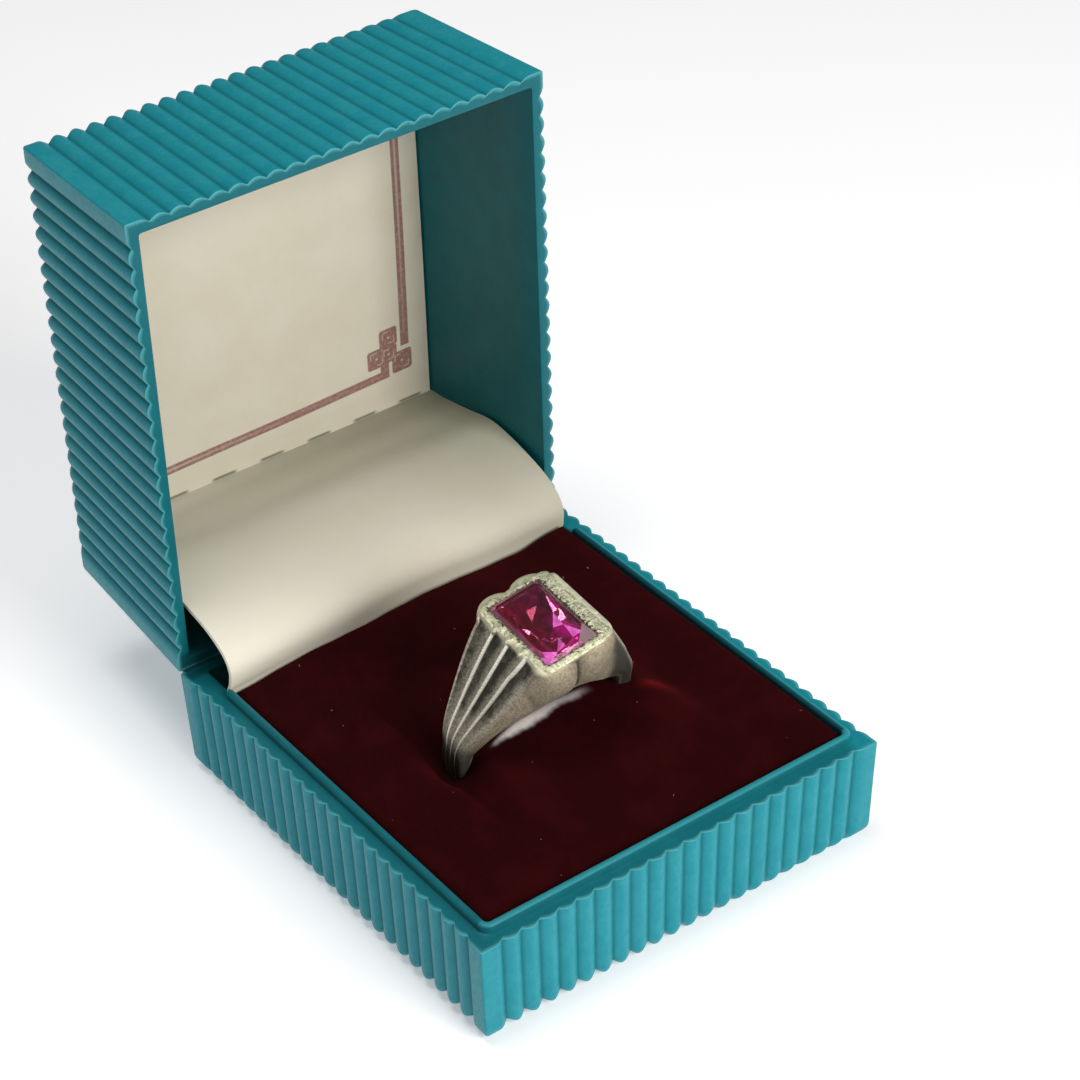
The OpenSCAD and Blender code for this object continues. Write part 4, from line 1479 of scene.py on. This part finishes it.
def ring_marks(ring, points):
    """Where the ring's points lie: in a flute, on a ridge's wall, low, in the bore, in the crease
    between two lobes, by the table, and on the front. The flutes hold painted shade toward the
    ridge behind each, the ridges' walls a painted highlight, and low painted shade near the velvet
    and on the right shoulder's front."""
    local = moved(points, ring_place(ring).inverted())
    bend = np.arctan2(local[:, 0], local[:, 2])
    reach = np.hypot(local[:, 0], local[:, 2])
    half, narrow = half_width(ring, bend)
    back_half, _ = half_width(ring, bend, slack=1.0)
    share = local[:, 1] / np.where(local[:, 1] < 0, half, back_half)
    within = outer_reach(ring, bend) - reach
    outside = 1 - smooth_step(0.7, 1.2, within)
    degrees = np.abs(np.degrees(bend))
    fade = smooth_step(15.9, 16.7, degrees) * outside
    across, phase = flute_phase(share)
    # Oxide in the flutes, with painted shade that deepens toward the ridge behind each.
    deep = smooth_step(0.0, 0.65, phase) * np.where(across > FLUTES - 1, 0.7, 1.0)
    recess = (0.10 + 0.90 * deep) * (phase < RIDGE_WALL + 0.04) * (share > FLUTES_FRONT) * fade
    recess = recess * (1 - 0.75 * smooth_step(42, 62, degrees))
    # The ridges' walls: rubbed silver with a painted highlight.
    lines = smooth_step(RIDGE_WALL + 0.03, RIDGE_WALL + 0.06, phase)
    lines = np.maximum(lines, (phase < 0.02) * (across > 0.5)) * (across < FLUTES - 0.5)
    lines = lines * (1 - 0.8 * (1 - smooth_step(1.5, 4.5, local[:, 2])))
    front = smooth_step(0.80, 0.92, -local[:, 1] / narrow)
    # Painted shade low on the ring, near the velvet.
    low = 1 - smooth_step(2.0, 5.0, local[:, 2])
    bore = 1 - smooth_step(0.05, 0.5, reach - ring.finger / 2)
    crease = np.exp(-(local[:, 0] / 0.16) ** 2) * (local[:, 2] > 0) * (np.abs(share) > 0.86)
    below = table_reach(ring, np.clip(bend, -0.5, 0.5)) - reach
    table = (1 - smooth_step(0.08, 0.45, below)) * (degrees < 28)
    # Painted shade on the right shoulder's front side, added to low.
    shade = smooth_step(3.9, 5.6, local[:, 0]) * front * smooth_step(0.25, 0.7, within)
    return {"recess": recess, "ridge": lines * fade, "low": np.maximum(low, shade),
            "bore": bore, "crease": crease, "table": table, "front": front}


def silver(ring):
    """Cast silver: bright on the ridges, rubbed and with a painted highlight; black in the flutes,
    oxide with painted shade; painted shade low down and on the right shoulder's front; pale by the
    stone, grained.
    """
    tree = Finish("tarnished_silver")
    ridge, table, front = (tree.attribute(label) for label in ("ridge", "table", "front"))
    grain = tree.noise(5.5, 5.0, 0.7)
    cloud = tree.noise(0.8, 5.0, 0.65)
    scratch = tree.noise(8.0, 3.0, 0.6, tree.stretched(0.25, 1.0, 1.6))
    speck = tree.noise(3.8, 5.0, 0.75)
    # Oxide in the flutes and the crease, with painted shade in the flutes, low down and on the
    # right shoulder.
    dark = tree.attribute("recess") * cloud.between(0.3, 0.7, 0.78, 1.05)
    dark = dark.highest(tree.attribute("low") * 0.97).highest(tree.attribute("crease") * 0.85)
    dark = dark + grain.between(0.45, 0.70) * 0.30 + cloud.between(0.45, 0.68) * 0.24
    dark = dark * (1 - tree.attribute("bore") * 0.5) * (1 - ridge * 0.9) * (1 - table * 0.7)
    dark = dark.lowest(1.0)
    base = tree.layers(
        tuple(ring.silver), (front * 0.85, (0.35, 0.285, 0.20)),
        (speck.between(0.43, 0.58, 0.0, 0.65), (0.17, 0.14, 0.095)), (dark, ring.tarnish),
        (cloud.between(0.42, 0.7, 0.0, 0.45) * (1 - dark), (0.52, 0.45, 0.31)),
        # Near white on the ridges' walls: rubbed silver with a painted highlight.
        (table * 0.8, ring.pale), ((ridge * 0.9).lowest(1.0), (0.97, 0.95, 0.84)))
    rough = scratch.between(0.3, 0.7, 0.44, 0.58) - ridge * 0.22 + front * 0.20
    relief = tree.bump(scratch, 0.30, 0.02, tree.bump(grain, 0.45, 0.05))
    relief = tree.bump(tree.noise(1.1, 3.0), 0.35, 0.20, relief)
    return tree.finish(Base_Color=base, Metallic=0.82 - front * 0.22 - ridge * 0.45,
                       Roughness=rough, Normal=relief)


def bezel_silver(ring):
    """The lip pressed over the stone: pale, yellowish, pitted, with green in its hollows, and its
    pits crowded along the stone into a black line that is partly painted shade in the gap."""
    tree = Finish("pale_bezel_silver")
    near = tree.attribute("stone_side")
    # Near the stone the pits crowd together: real pits, and painted shade in the gap by the stone.
    pits = (tree.noise(3.6, 4.0, 0.72) + near * 0.09).between(0.62, 0.72)
    grain = tree.noise(2.2, 6.0, 0.7)
    base = tree.layers(
        tuple(ring.pale), (grain.between(0.42, 0.68), (0.44, 0.42, 0.25)),
        (tree.noise(1.3, 4.0, 0.6).between(0.52, 0.68) * 0.5, (0.34, 0.40, 0.21)),
        (pits * 0.9, (0.040, 0.032, 0.022)))
    relief = tree.bump(grain, 0.7, 0.18, tree.bump(1 - pits, 0.7, 0.12))
    return tree.finish(Base_Color=base, Metallic=0.70, Normal=relief,
                       Roughness=grain.between(0.3, 0.7, 0.28, 0.50))


LIP_SIDE = 104
LIP_END = 66
LIP_CORNER = 0.3
CLAWS = (-1.75, 0.28, 2.23)
LEFT_LIP = 0.76
RIGHT_LIP = 1.35
END_LIP = 0.78
CLAW_REACH = 0.50
# The lip's section: over the stone, reach, rise and raggedness; then outward, share of the
# lip's width and rise.
LIP_INNER = ((-0.14, -0.42, 0.2), (-0.20, -0.12, 1.0), (-0.18, 0.00, 1.0), (-0.08, 0.09, 0.8),
             (0.08, 0.12, 0.4))
LIP_OUTER = ((0.3, 0.11), (0.55, 0.07), (0.8, 0.03), (0.95, -0.07), (1.0, -0.45))


def lip_columns(stone):
    """Places round the stone's edge, with the way outward at each."""
    half_x, half_y, radius = stone.width / 2, stone.long / 2, LIP_CORNER
    columns = []
    for side, (count, span) in enumerate(((LIP_END, half_x), (LIP_SIDE, half_y)) * 2):
        turn = side * math.pi / 2
        ahead = np.array([math.cos(turn), math.sin(turn)])
        out = np.array([math.sin(turn), -math.cos(turn)])
        other = half_x if side % 2 else half_y
        for t in np.linspace(-1, 1, count):
            columns.append((*(ahead * t * (span - radius) + out * other), *out))
        for t in (0.2, 0.4, 0.6, 0.8):
            bend = t * math.pi / 2
            way = out * math.cos(bend) + ahead * math.sin(bend)
            centre = ahead * (span - radius) + out * (other - radius)
            columns.append((*(centre + way * radius), *way))
    return np.array(columns)


def lip_points(stone):
    """Sections of the lip round the stone: flat, uneven, and reaching down to each ridge."""
    columns = lip_columns(stone)
    place, out = columns[:, :2], columns[:, 2:]
    level = np.zeros(len(place))
    ragged = wobble(np.column_stack([place, level]), 1.6, 3.0)
    lumpy = wobble(np.column_stack([place, level + 1]), 1.1, 8.0)
    fine = wobble(np.column_stack([place, level + 1]), 4.5, 5.0)
    claw = sum(np.exp(-np.abs((place[:, 1] - y) / 0.30) ** 1.3) for y in CLAWS)
    claw = claw * (out[:, 0] < -0.7)
    right = smooth_step(-0.7, 0.7, out[:, 0])
    width = LEFT_LIP + (RIGHT_LIP - LEFT_LIP) * right
    width = width + (END_LIP - width) * smooth_step(0.3, 0.9, np.abs(out[:, 1]))
    width = width + (0.12 - 0.06 * right) * lumpy + 0.05 * fine + CLAW_REACH * claw
    sections = []
    for reach, rise, raggedness in LIP_INNER:
        by = reach + raggedness * (0.12 * ragged + 0.06 * fine)
        sections.append((by, rise + 0.05 * lumpy + 0.04 * fine))
    for share, rise in LIP_OUTER:
        lift = (0.06 * lumpy + 0.05 * fine + 0.10 * claw * share) * (rise > -0.1)
        sections.append((width * share, rise + lift))
    return np.array([np.column_stack([place + out * by[:, None],
                                      np.broadcast_to(rise, len(place))])
                     for by, rise in sections])


class RINGBOX_OT_ring(bpy.types.Operator):
    """Build the fluted silver ring and the lip round its stone"""

    bl_idname = "ringbox.ring"
    bl_label = "Silver Ring"

    def execute(self, context):
        ring, stone = settings("ring"), settings("stone")
        points, count = [], 0
        for bend in ring_angles():
            section = ring_section(ring, bend)
            count = len(section)
            points += [(reach * math.sin(bend), y, reach * math.cos(bend))
                       for y, reach in section]
        faces = loft_faces(len(points) // count, count, closed=True)
        band = make_piece("silver_ring", moved(points, ring_place(ring)), faces, silver(ring))
        place = table_place(ring)
        half_x, half_y = stone.width / 2 + SEAT_ROOM, stone.long / 2 + SEAT_ROOM
        cut(band, block("pocket", place, half_x, half_y, POCKET_FLOOR, CUT_TOP))
        cut(band, block("window", place, half_x - SEAT_LEDGE, half_y - SEAT_LEDGE,
                        WINDOW_FLOOR, CUT_TOP), RING_CREASE)
        flat = np.empty(len(band.data.vertices) * 3, dtype=np.float32)
        band.data.vertices.foreach_get("co", flat)
        mark(band.data, ring_marks(ring, flat.reshape(-1, 3) / MM))
        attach(band, "base")
        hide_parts("ring_band")

        sections = lip_points(stone)
        # How near each section lies to the stone, for the painted shade along it.
        beside = np.repeat(np.interp(np.arange(len(sections)), (2, 3, 5, 7), (3, 2, 0.7, 0)),
                           sections.shape[1])
        lip = make_piece("bezel_lip", moved(sections.reshape(-1, 3), place),
                         loft_faces(len(sections), sections.shape[1], closed=True, flip=True),
                         bezel_silver(ring), {"stone_side": beside})
        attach(lip, "base")
        return {"FINISHED"}


# The stone.

def cut_corners(half_x, half_y, z, corner, wide=None):
    """Eight corners of a rectangle whose own corners are cut off, the front right one more
    than the others where wide gives its cut along each side."""
    wide_x, wide_y = wide or (corner, corner)
    return [(half_x, -half_y + wide_y, z), (half_x, half_y - corner, z),
            (half_x - corner, half_y, z), (-half_x + corner, half_y, z),
            (-half_x, half_y - corner, z), (-half_x, -half_y + corner, z),
            (-half_x + corner, -half_y, z), (half_x - wide_x, -half_y, z)]


def facet_tier(half_x, half_y, z, count, turn):
    """Points round a flattened circle, for one tier of the facets under the stone's edge."""
    tier = []
    for index in range(count):
        bend = (index + turn) * math.tau / count
        swell = 1 + 0.05 * math.sin(5.3 * index + 2.0 * turn)
        x, y = math.cos(bend), math.sin(bend)
        square = 1 / max(abs(x), abs(y)) ** 0.55
        tier.append((half_x * x * square * swell, half_y * y * square * swell, z))
    return tier


# The tiers of facets under the girdle: shares of the stone's half width, half length and
# depth, the number of corners, and how far they are turned.
TIERS = ((0.85, 0.87, 0.36, 15, 0.5), (0.62, 0.64, 0.70, 11, 0.6), (0.30, 0.34, 0.92, 7, 0.9))
TABLE_RISE = 0.22
GIRDLE_TOP = -0.16
GIRDLE = -0.40
WIDE_CORNER = (1.65, 1.7)


def stone_points(stone):
    """Table, crown, girdle, and the facets under it down to a short keel."""
    half_x, half_y = stone.width / 2, stone.long / 2
    crown, keel = stone.crown, GIRDLE - stone.depth
    points = cut_corners(half_x - crown, half_y - crown, TABLE_RISE, 0.35, WIDE_CORNER)
    for z in (GIRDLE_TOP, GIRDLE):
        points += cut_corners(half_x, half_y, z, 0.25)
    for across, along, down, count, turn in TIERS:
        points += facet_tier(half_x * across, half_y * along, GIRDLE - stone.depth * down,
                             count, turn)
    return points + [(0.0, 0.7, keel), (0.1, -0.8, keel)]


def magenta_glass(stone):
    """Clear magenta over facets with painted light: the facets under the girdle glow from plum
    through wine to pink as painted flashes of the light inside the stone, and the pale crown facets
    carry a painted reflection.
    """
    tree = Finish("magenta_glass")
    flash, inner, pale = (tree.attribute(label) for label in ("flash", "inner", "pale"))
    haze = tree.noise(1.1, 4.0, 0.6).between(0.3, 0.7, 0.65, 1.25)
    speckle = tree.noise(6.0, 4.0, 0.7).between(0.35, 0.65, 0.75, 1.2)
    lit = tree.layers(
        tuple(stone.plum), (tree.attribute("wine"), stone.wine),
        (flash.between(0.15, 0.6), stone.magenta), (flash.between(0.6, 1.0), stone.pink))
    # Painted light: the facets under the girdle glow in their flash colours, and the pale ones with
    # a painted reflection.
    glow = tree.mix((inner * haze * 0.8).lowest(1.0), (0.0, 0.0, 0.0, 1.0), lit)
    glow = tree.layers(glow, (pale, (0.12, 0.082, 0.085)))
    base = tree.mix(inner, (0.93, 0.52, 0.72, 1.0), lit)
    base = tree.layers(base, ((pale * speckle).lowest(1.0), (0.50, 0.39, 0.39)))
    rough = tree.noise(3.0, 4.0, 0.7).between(0.62, 0.8, 0.0, 0.07) + pale * 0.35
    return tree.finish(Base_Color=base, Roughness=rough, IOR=1.60, Transmission_Weight=1.0,
                       Specular_IOR_Level=0.15, Metallic=(inner * 0.60).highest(pale * 0.85),
                       Emission_Color=glow, Emission_Strength=1.0)


# Where facets carry painted flashes in the stone, in the table's own plane: across, along, and how
# brightly.
FLASHES = ((1.35, -0.9, 0.92), (1.3, -3.3, 0.9), (2.2, 1.0, 0.62), (-0.5, -3.4, 0.80),
           (-2.6, -2.4, 0.72), (-2.2, -4.0, 0.85), (0.6, -2.2, 0.55), (-1.6, 3.2, 0.05),
           (-0.8, 2.0, 0.0), (0.6, 3.2, 0.0), (0.9, 1.8, 0.0), (0.2, 0.6, 0.0), (-2.5, 0.6, 0.4))
SEEN_SLIP = (0.24, 0.39)


def facet_marks(place, centre, normal):
    """A facet's painted flash and painted redness, whether it lies under the stone's edge, whether
    it carries the painted pale reflection, and where the bent line of sight to it leaves the table."""
    local = place.inverted() @ (centre / MM)
    upward = (place.to_3x3().inverted() @ normal).z
    x, y = local.x + SEEN_SLIP[0] * local.z, local.y + SEEN_SLIP[1] * local.z
    flash = 0.24 - 0.05 * (y + 1.0) + 0.06 * x
    flash += 0.30 * noise.noise(Vector((local.x * 1.7, local.y * 1.7, 4.0)))
    # Pale crown facets, most at the front right corner, carry a painted reflection.
    corner = 0.96 < upward < 0.995 and local.x > 1.0 and local.y < -2.4
    crown = 0.3 < upward < 0.96
    marks = {"flash": min(0.6, max(0.0, flash)), "inner": float(upward < -0.05),
             "wine": min(1.0, max(0.0, 0.5 - 0.35 * x)), "pale": 1.0 if corner else 0.3 * crown}
    return marks, (x, y)


class RINGBOX_OT_stone(bpy.types.Operator):
    """Build the faceted magenta stone"""

    bl_idname = "ringbox.stone"
    bl_label = "Magenta Stone"

    def execute(self, context):
        ring, stone = settings("ring"), settings("stone")
        place = table_place(ring)
        work = bmesh.new()
        for point in moved(stone_points(stone), place):
            work.verts.new(Vector(point) * MM)
        made = bmesh.ops.convex_hull(work, input=work.verts)
        spare = [item for item in made["geom_interior"] if isinstance(item, bmesh.types.BMVert)]
        bmesh.ops.delete(work, geom=spare, context="VERTS")
        bmesh.ops.recalc_face_normals(work, faces=work.faces)
        mesh = bpy.data.meshes.new("cut_stone")
        work.to_mesh(mesh)
        work.free()
        mesh.materials.append(magenta_glass(stone))
        facets = [facet_marks(place, face.center, face.normal) for face in mesh.polygons]
        inner = [facet for facet in facets if facet[0]["inner"]]
        for across, along, bright in FLASHES:
            marks, _ = min(inner, key=lambda facet: math.dist(facet[1], (across, along)))
            marks["flash"] = bright
        mark(mesh, {label: [marks[label] for marks, _ in facets]
                    for label in ("flash", "inner", "wine", "pale")}, "FACE")
        cut_stone = new_object("cut_stone", mesh)
        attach(cut_stone, "base")
        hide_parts("gemstone")
        return {"FINISHED"}


# Floor, light and camera. The eye is in millimetres, and the lamps are in metres.

CAMERA_TURN = -0.622
CAMERA_RISE = 0.628
CAMERA_ROLL = -0.034
CAMERA_EYE = (-133.985, -190.849, 201.45)
IMAGE_SIDE = 1080
FOCAL_PIXELS = 3051.3
SENSOR = 36.0
NEAREST = 0.01
FLOOR_HALF = 3000.0
FLOOR_DROP = 0.02
AIM = (0.0, 0.0, 0.015)
KEY_PLACE = (0.08, -0.44, 0.28)
KEY_SIDE = 0.26
KEY_TINT = (1.0, 0.98, 0.95)
TOP_PLACE = (-0.06, 0.04, 0.42)
TOP_SIDE = 0.18


def camera_axes():
    """The camera's right, up and back, from its turn, rise and roll."""
    back = Vector((math.sin(CAMERA_TURN) * math.cos(CAMERA_RISE),
                   -math.cos(CAMERA_TURN) * math.cos(CAMERA_RISE), math.sin(CAMERA_RISE)))
    right = Vector((0, 0, 1)).cross(back).normalized()
    up = back.cross(right)
    turned = right * math.cos(CAMERA_ROLL) + up * math.sin(CAMERA_ROLL)
    return turned, back.cross(turned), back


def soft_lamp(name, place, side, power, tint=(1.0, 1.0, 1.0)):
    """A large square lamp that looks at the box."""
    lamp = bpy.data.lights.new(name, "AREA")
    lamp.shape = "SQUARE"
    lamp.size = side
    lamp.energy = power
    lamp.color = tint
    holder = new_object(name, lamp)
    holder.location = place
    holder.rotation_euler = (Vector(AIM) - Vector(place)).to_track_quat("-Z", "Y").to_euler()


class RINGBOX_OT_stage(bpy.types.Operator):
    """Set the floor, the soft light and the camera"""

    bl_idname = "ringbox.stage"
    bl_label = "Stage"

    def execute(self, context):
        stage = settings("stage")
        scene = context.scene
        tree = Finish("pale_floor")
        base = tree.layers(tuple(stage.floor), (tree.noise(0.02, 2.0).between(0.3, 0.7, 0.0, 0.06),
                                                (0.80, 0.80, 0.82)))
        material = tree.finish(Base_Color=base, Roughness=0.9, Specular_IOR_Level=0.1,
                               Emission_Color=base, Emission_Strength=stage.glow)
        corners = [(x * FLOOR_HALF, y * FLOOR_HALF, -FLOOR_DROP)
                   for x, y in ((-1, -1), (1, -1), (1, 1), (-1, 1))]
        floor = make_piece("floor", corners, [(0, 1, 2, 3)], material)
        world = bpy.data.worlds.new("soft_light")
        world.use_nodes = True
        back = world.node_tree.nodes["Background"]
        back.inputs["Color"].default_value = (1.0, 0.99, 0.98, 1.0)
        back.inputs["Strength"].default_value = stage.world
        scene.world = world
        scene.view_settings.view_transform = "Standard"
        soft_lamp("key_lamp", KEY_PLACE, KEY_SIDE, stage.key, KEY_TINT)
        soft_lamp("top_lamp", TOP_PLACE, TOP_SIDE, stage.top)

        camera = new_object("camera", bpy.data.cameras.new("camera"))
        right, up, away = camera_axes()
        eye = Vector(CAMERA_EYE) * MM
        camera.matrix_world = Matrix([(right[i], up[i], away[i], eye[i]) for i in range(3)]
                                     + [(0, 0, 0, 1)])
        camera.data.sensor_width = SENSOR
        camera.data.lens = FOCAL_PIXELS / IMAGE_SIDE * SENSOR
        camera.data.clip_start = NEAREST
        scene.camera = camera
        return {"FINISHED"}


class RINGBOX_PT_panel(bpy.types.Panel):
    """Lists the steps that build the ring and its box"""

    bl_idname = "RINGBOX_PT_panel"
    bl_label = "Ring Box"
    bl_space_type = "VIEW_3D"
    bl_region_type = "UI"
    bl_category = "Ring Box"

    def draw(self, context):
        column = self.layout.column(align=True)
        for step in STEPS:
            column.operator(step.bl_idname)


STEPS = (RINGBOX_OT_stage, RINGBOX_OT_shells, RINGBOX_OT_hinge, RINGBOX_OT_pad,
         RINGBOX_OT_lining, RINGBOX_OT_ring, RINGBOX_OT_stone)
GROUPS = (BoxSettings, HingeSettings, LiningSettings, PadSettings, RingSettings,
          StoneSettings, StageSettings, RingBoxSettings)


def register():
    for kind in (*GROUPS, *STEPS, RINGBOX_PT_panel):
        bpy.utils.register_class(kind)
    bpy.types.Scene.ring_box = PointerProperty(type=RingBoxSettings)


def unregister():
    del bpy.types.Scene.ring_box
    for kind in reversed((*GROUPS, *STEPS, RINGBOX_PT_panel)):
        bpy.utils.unregister_class(kind)


def main():
    register()
    bpy.ops.ringbox.stage()
    bpy.ops.ringbox.shells()
    bpy.ops.ringbox.hinge()
    bpy.ops.ringbox.pad()
    bpy.ops.ringbox.lining()
    bpy.ops.ringbox.ring()
    bpy.ops.ringbox.stone()


if __name__ == "__main__":
    main()
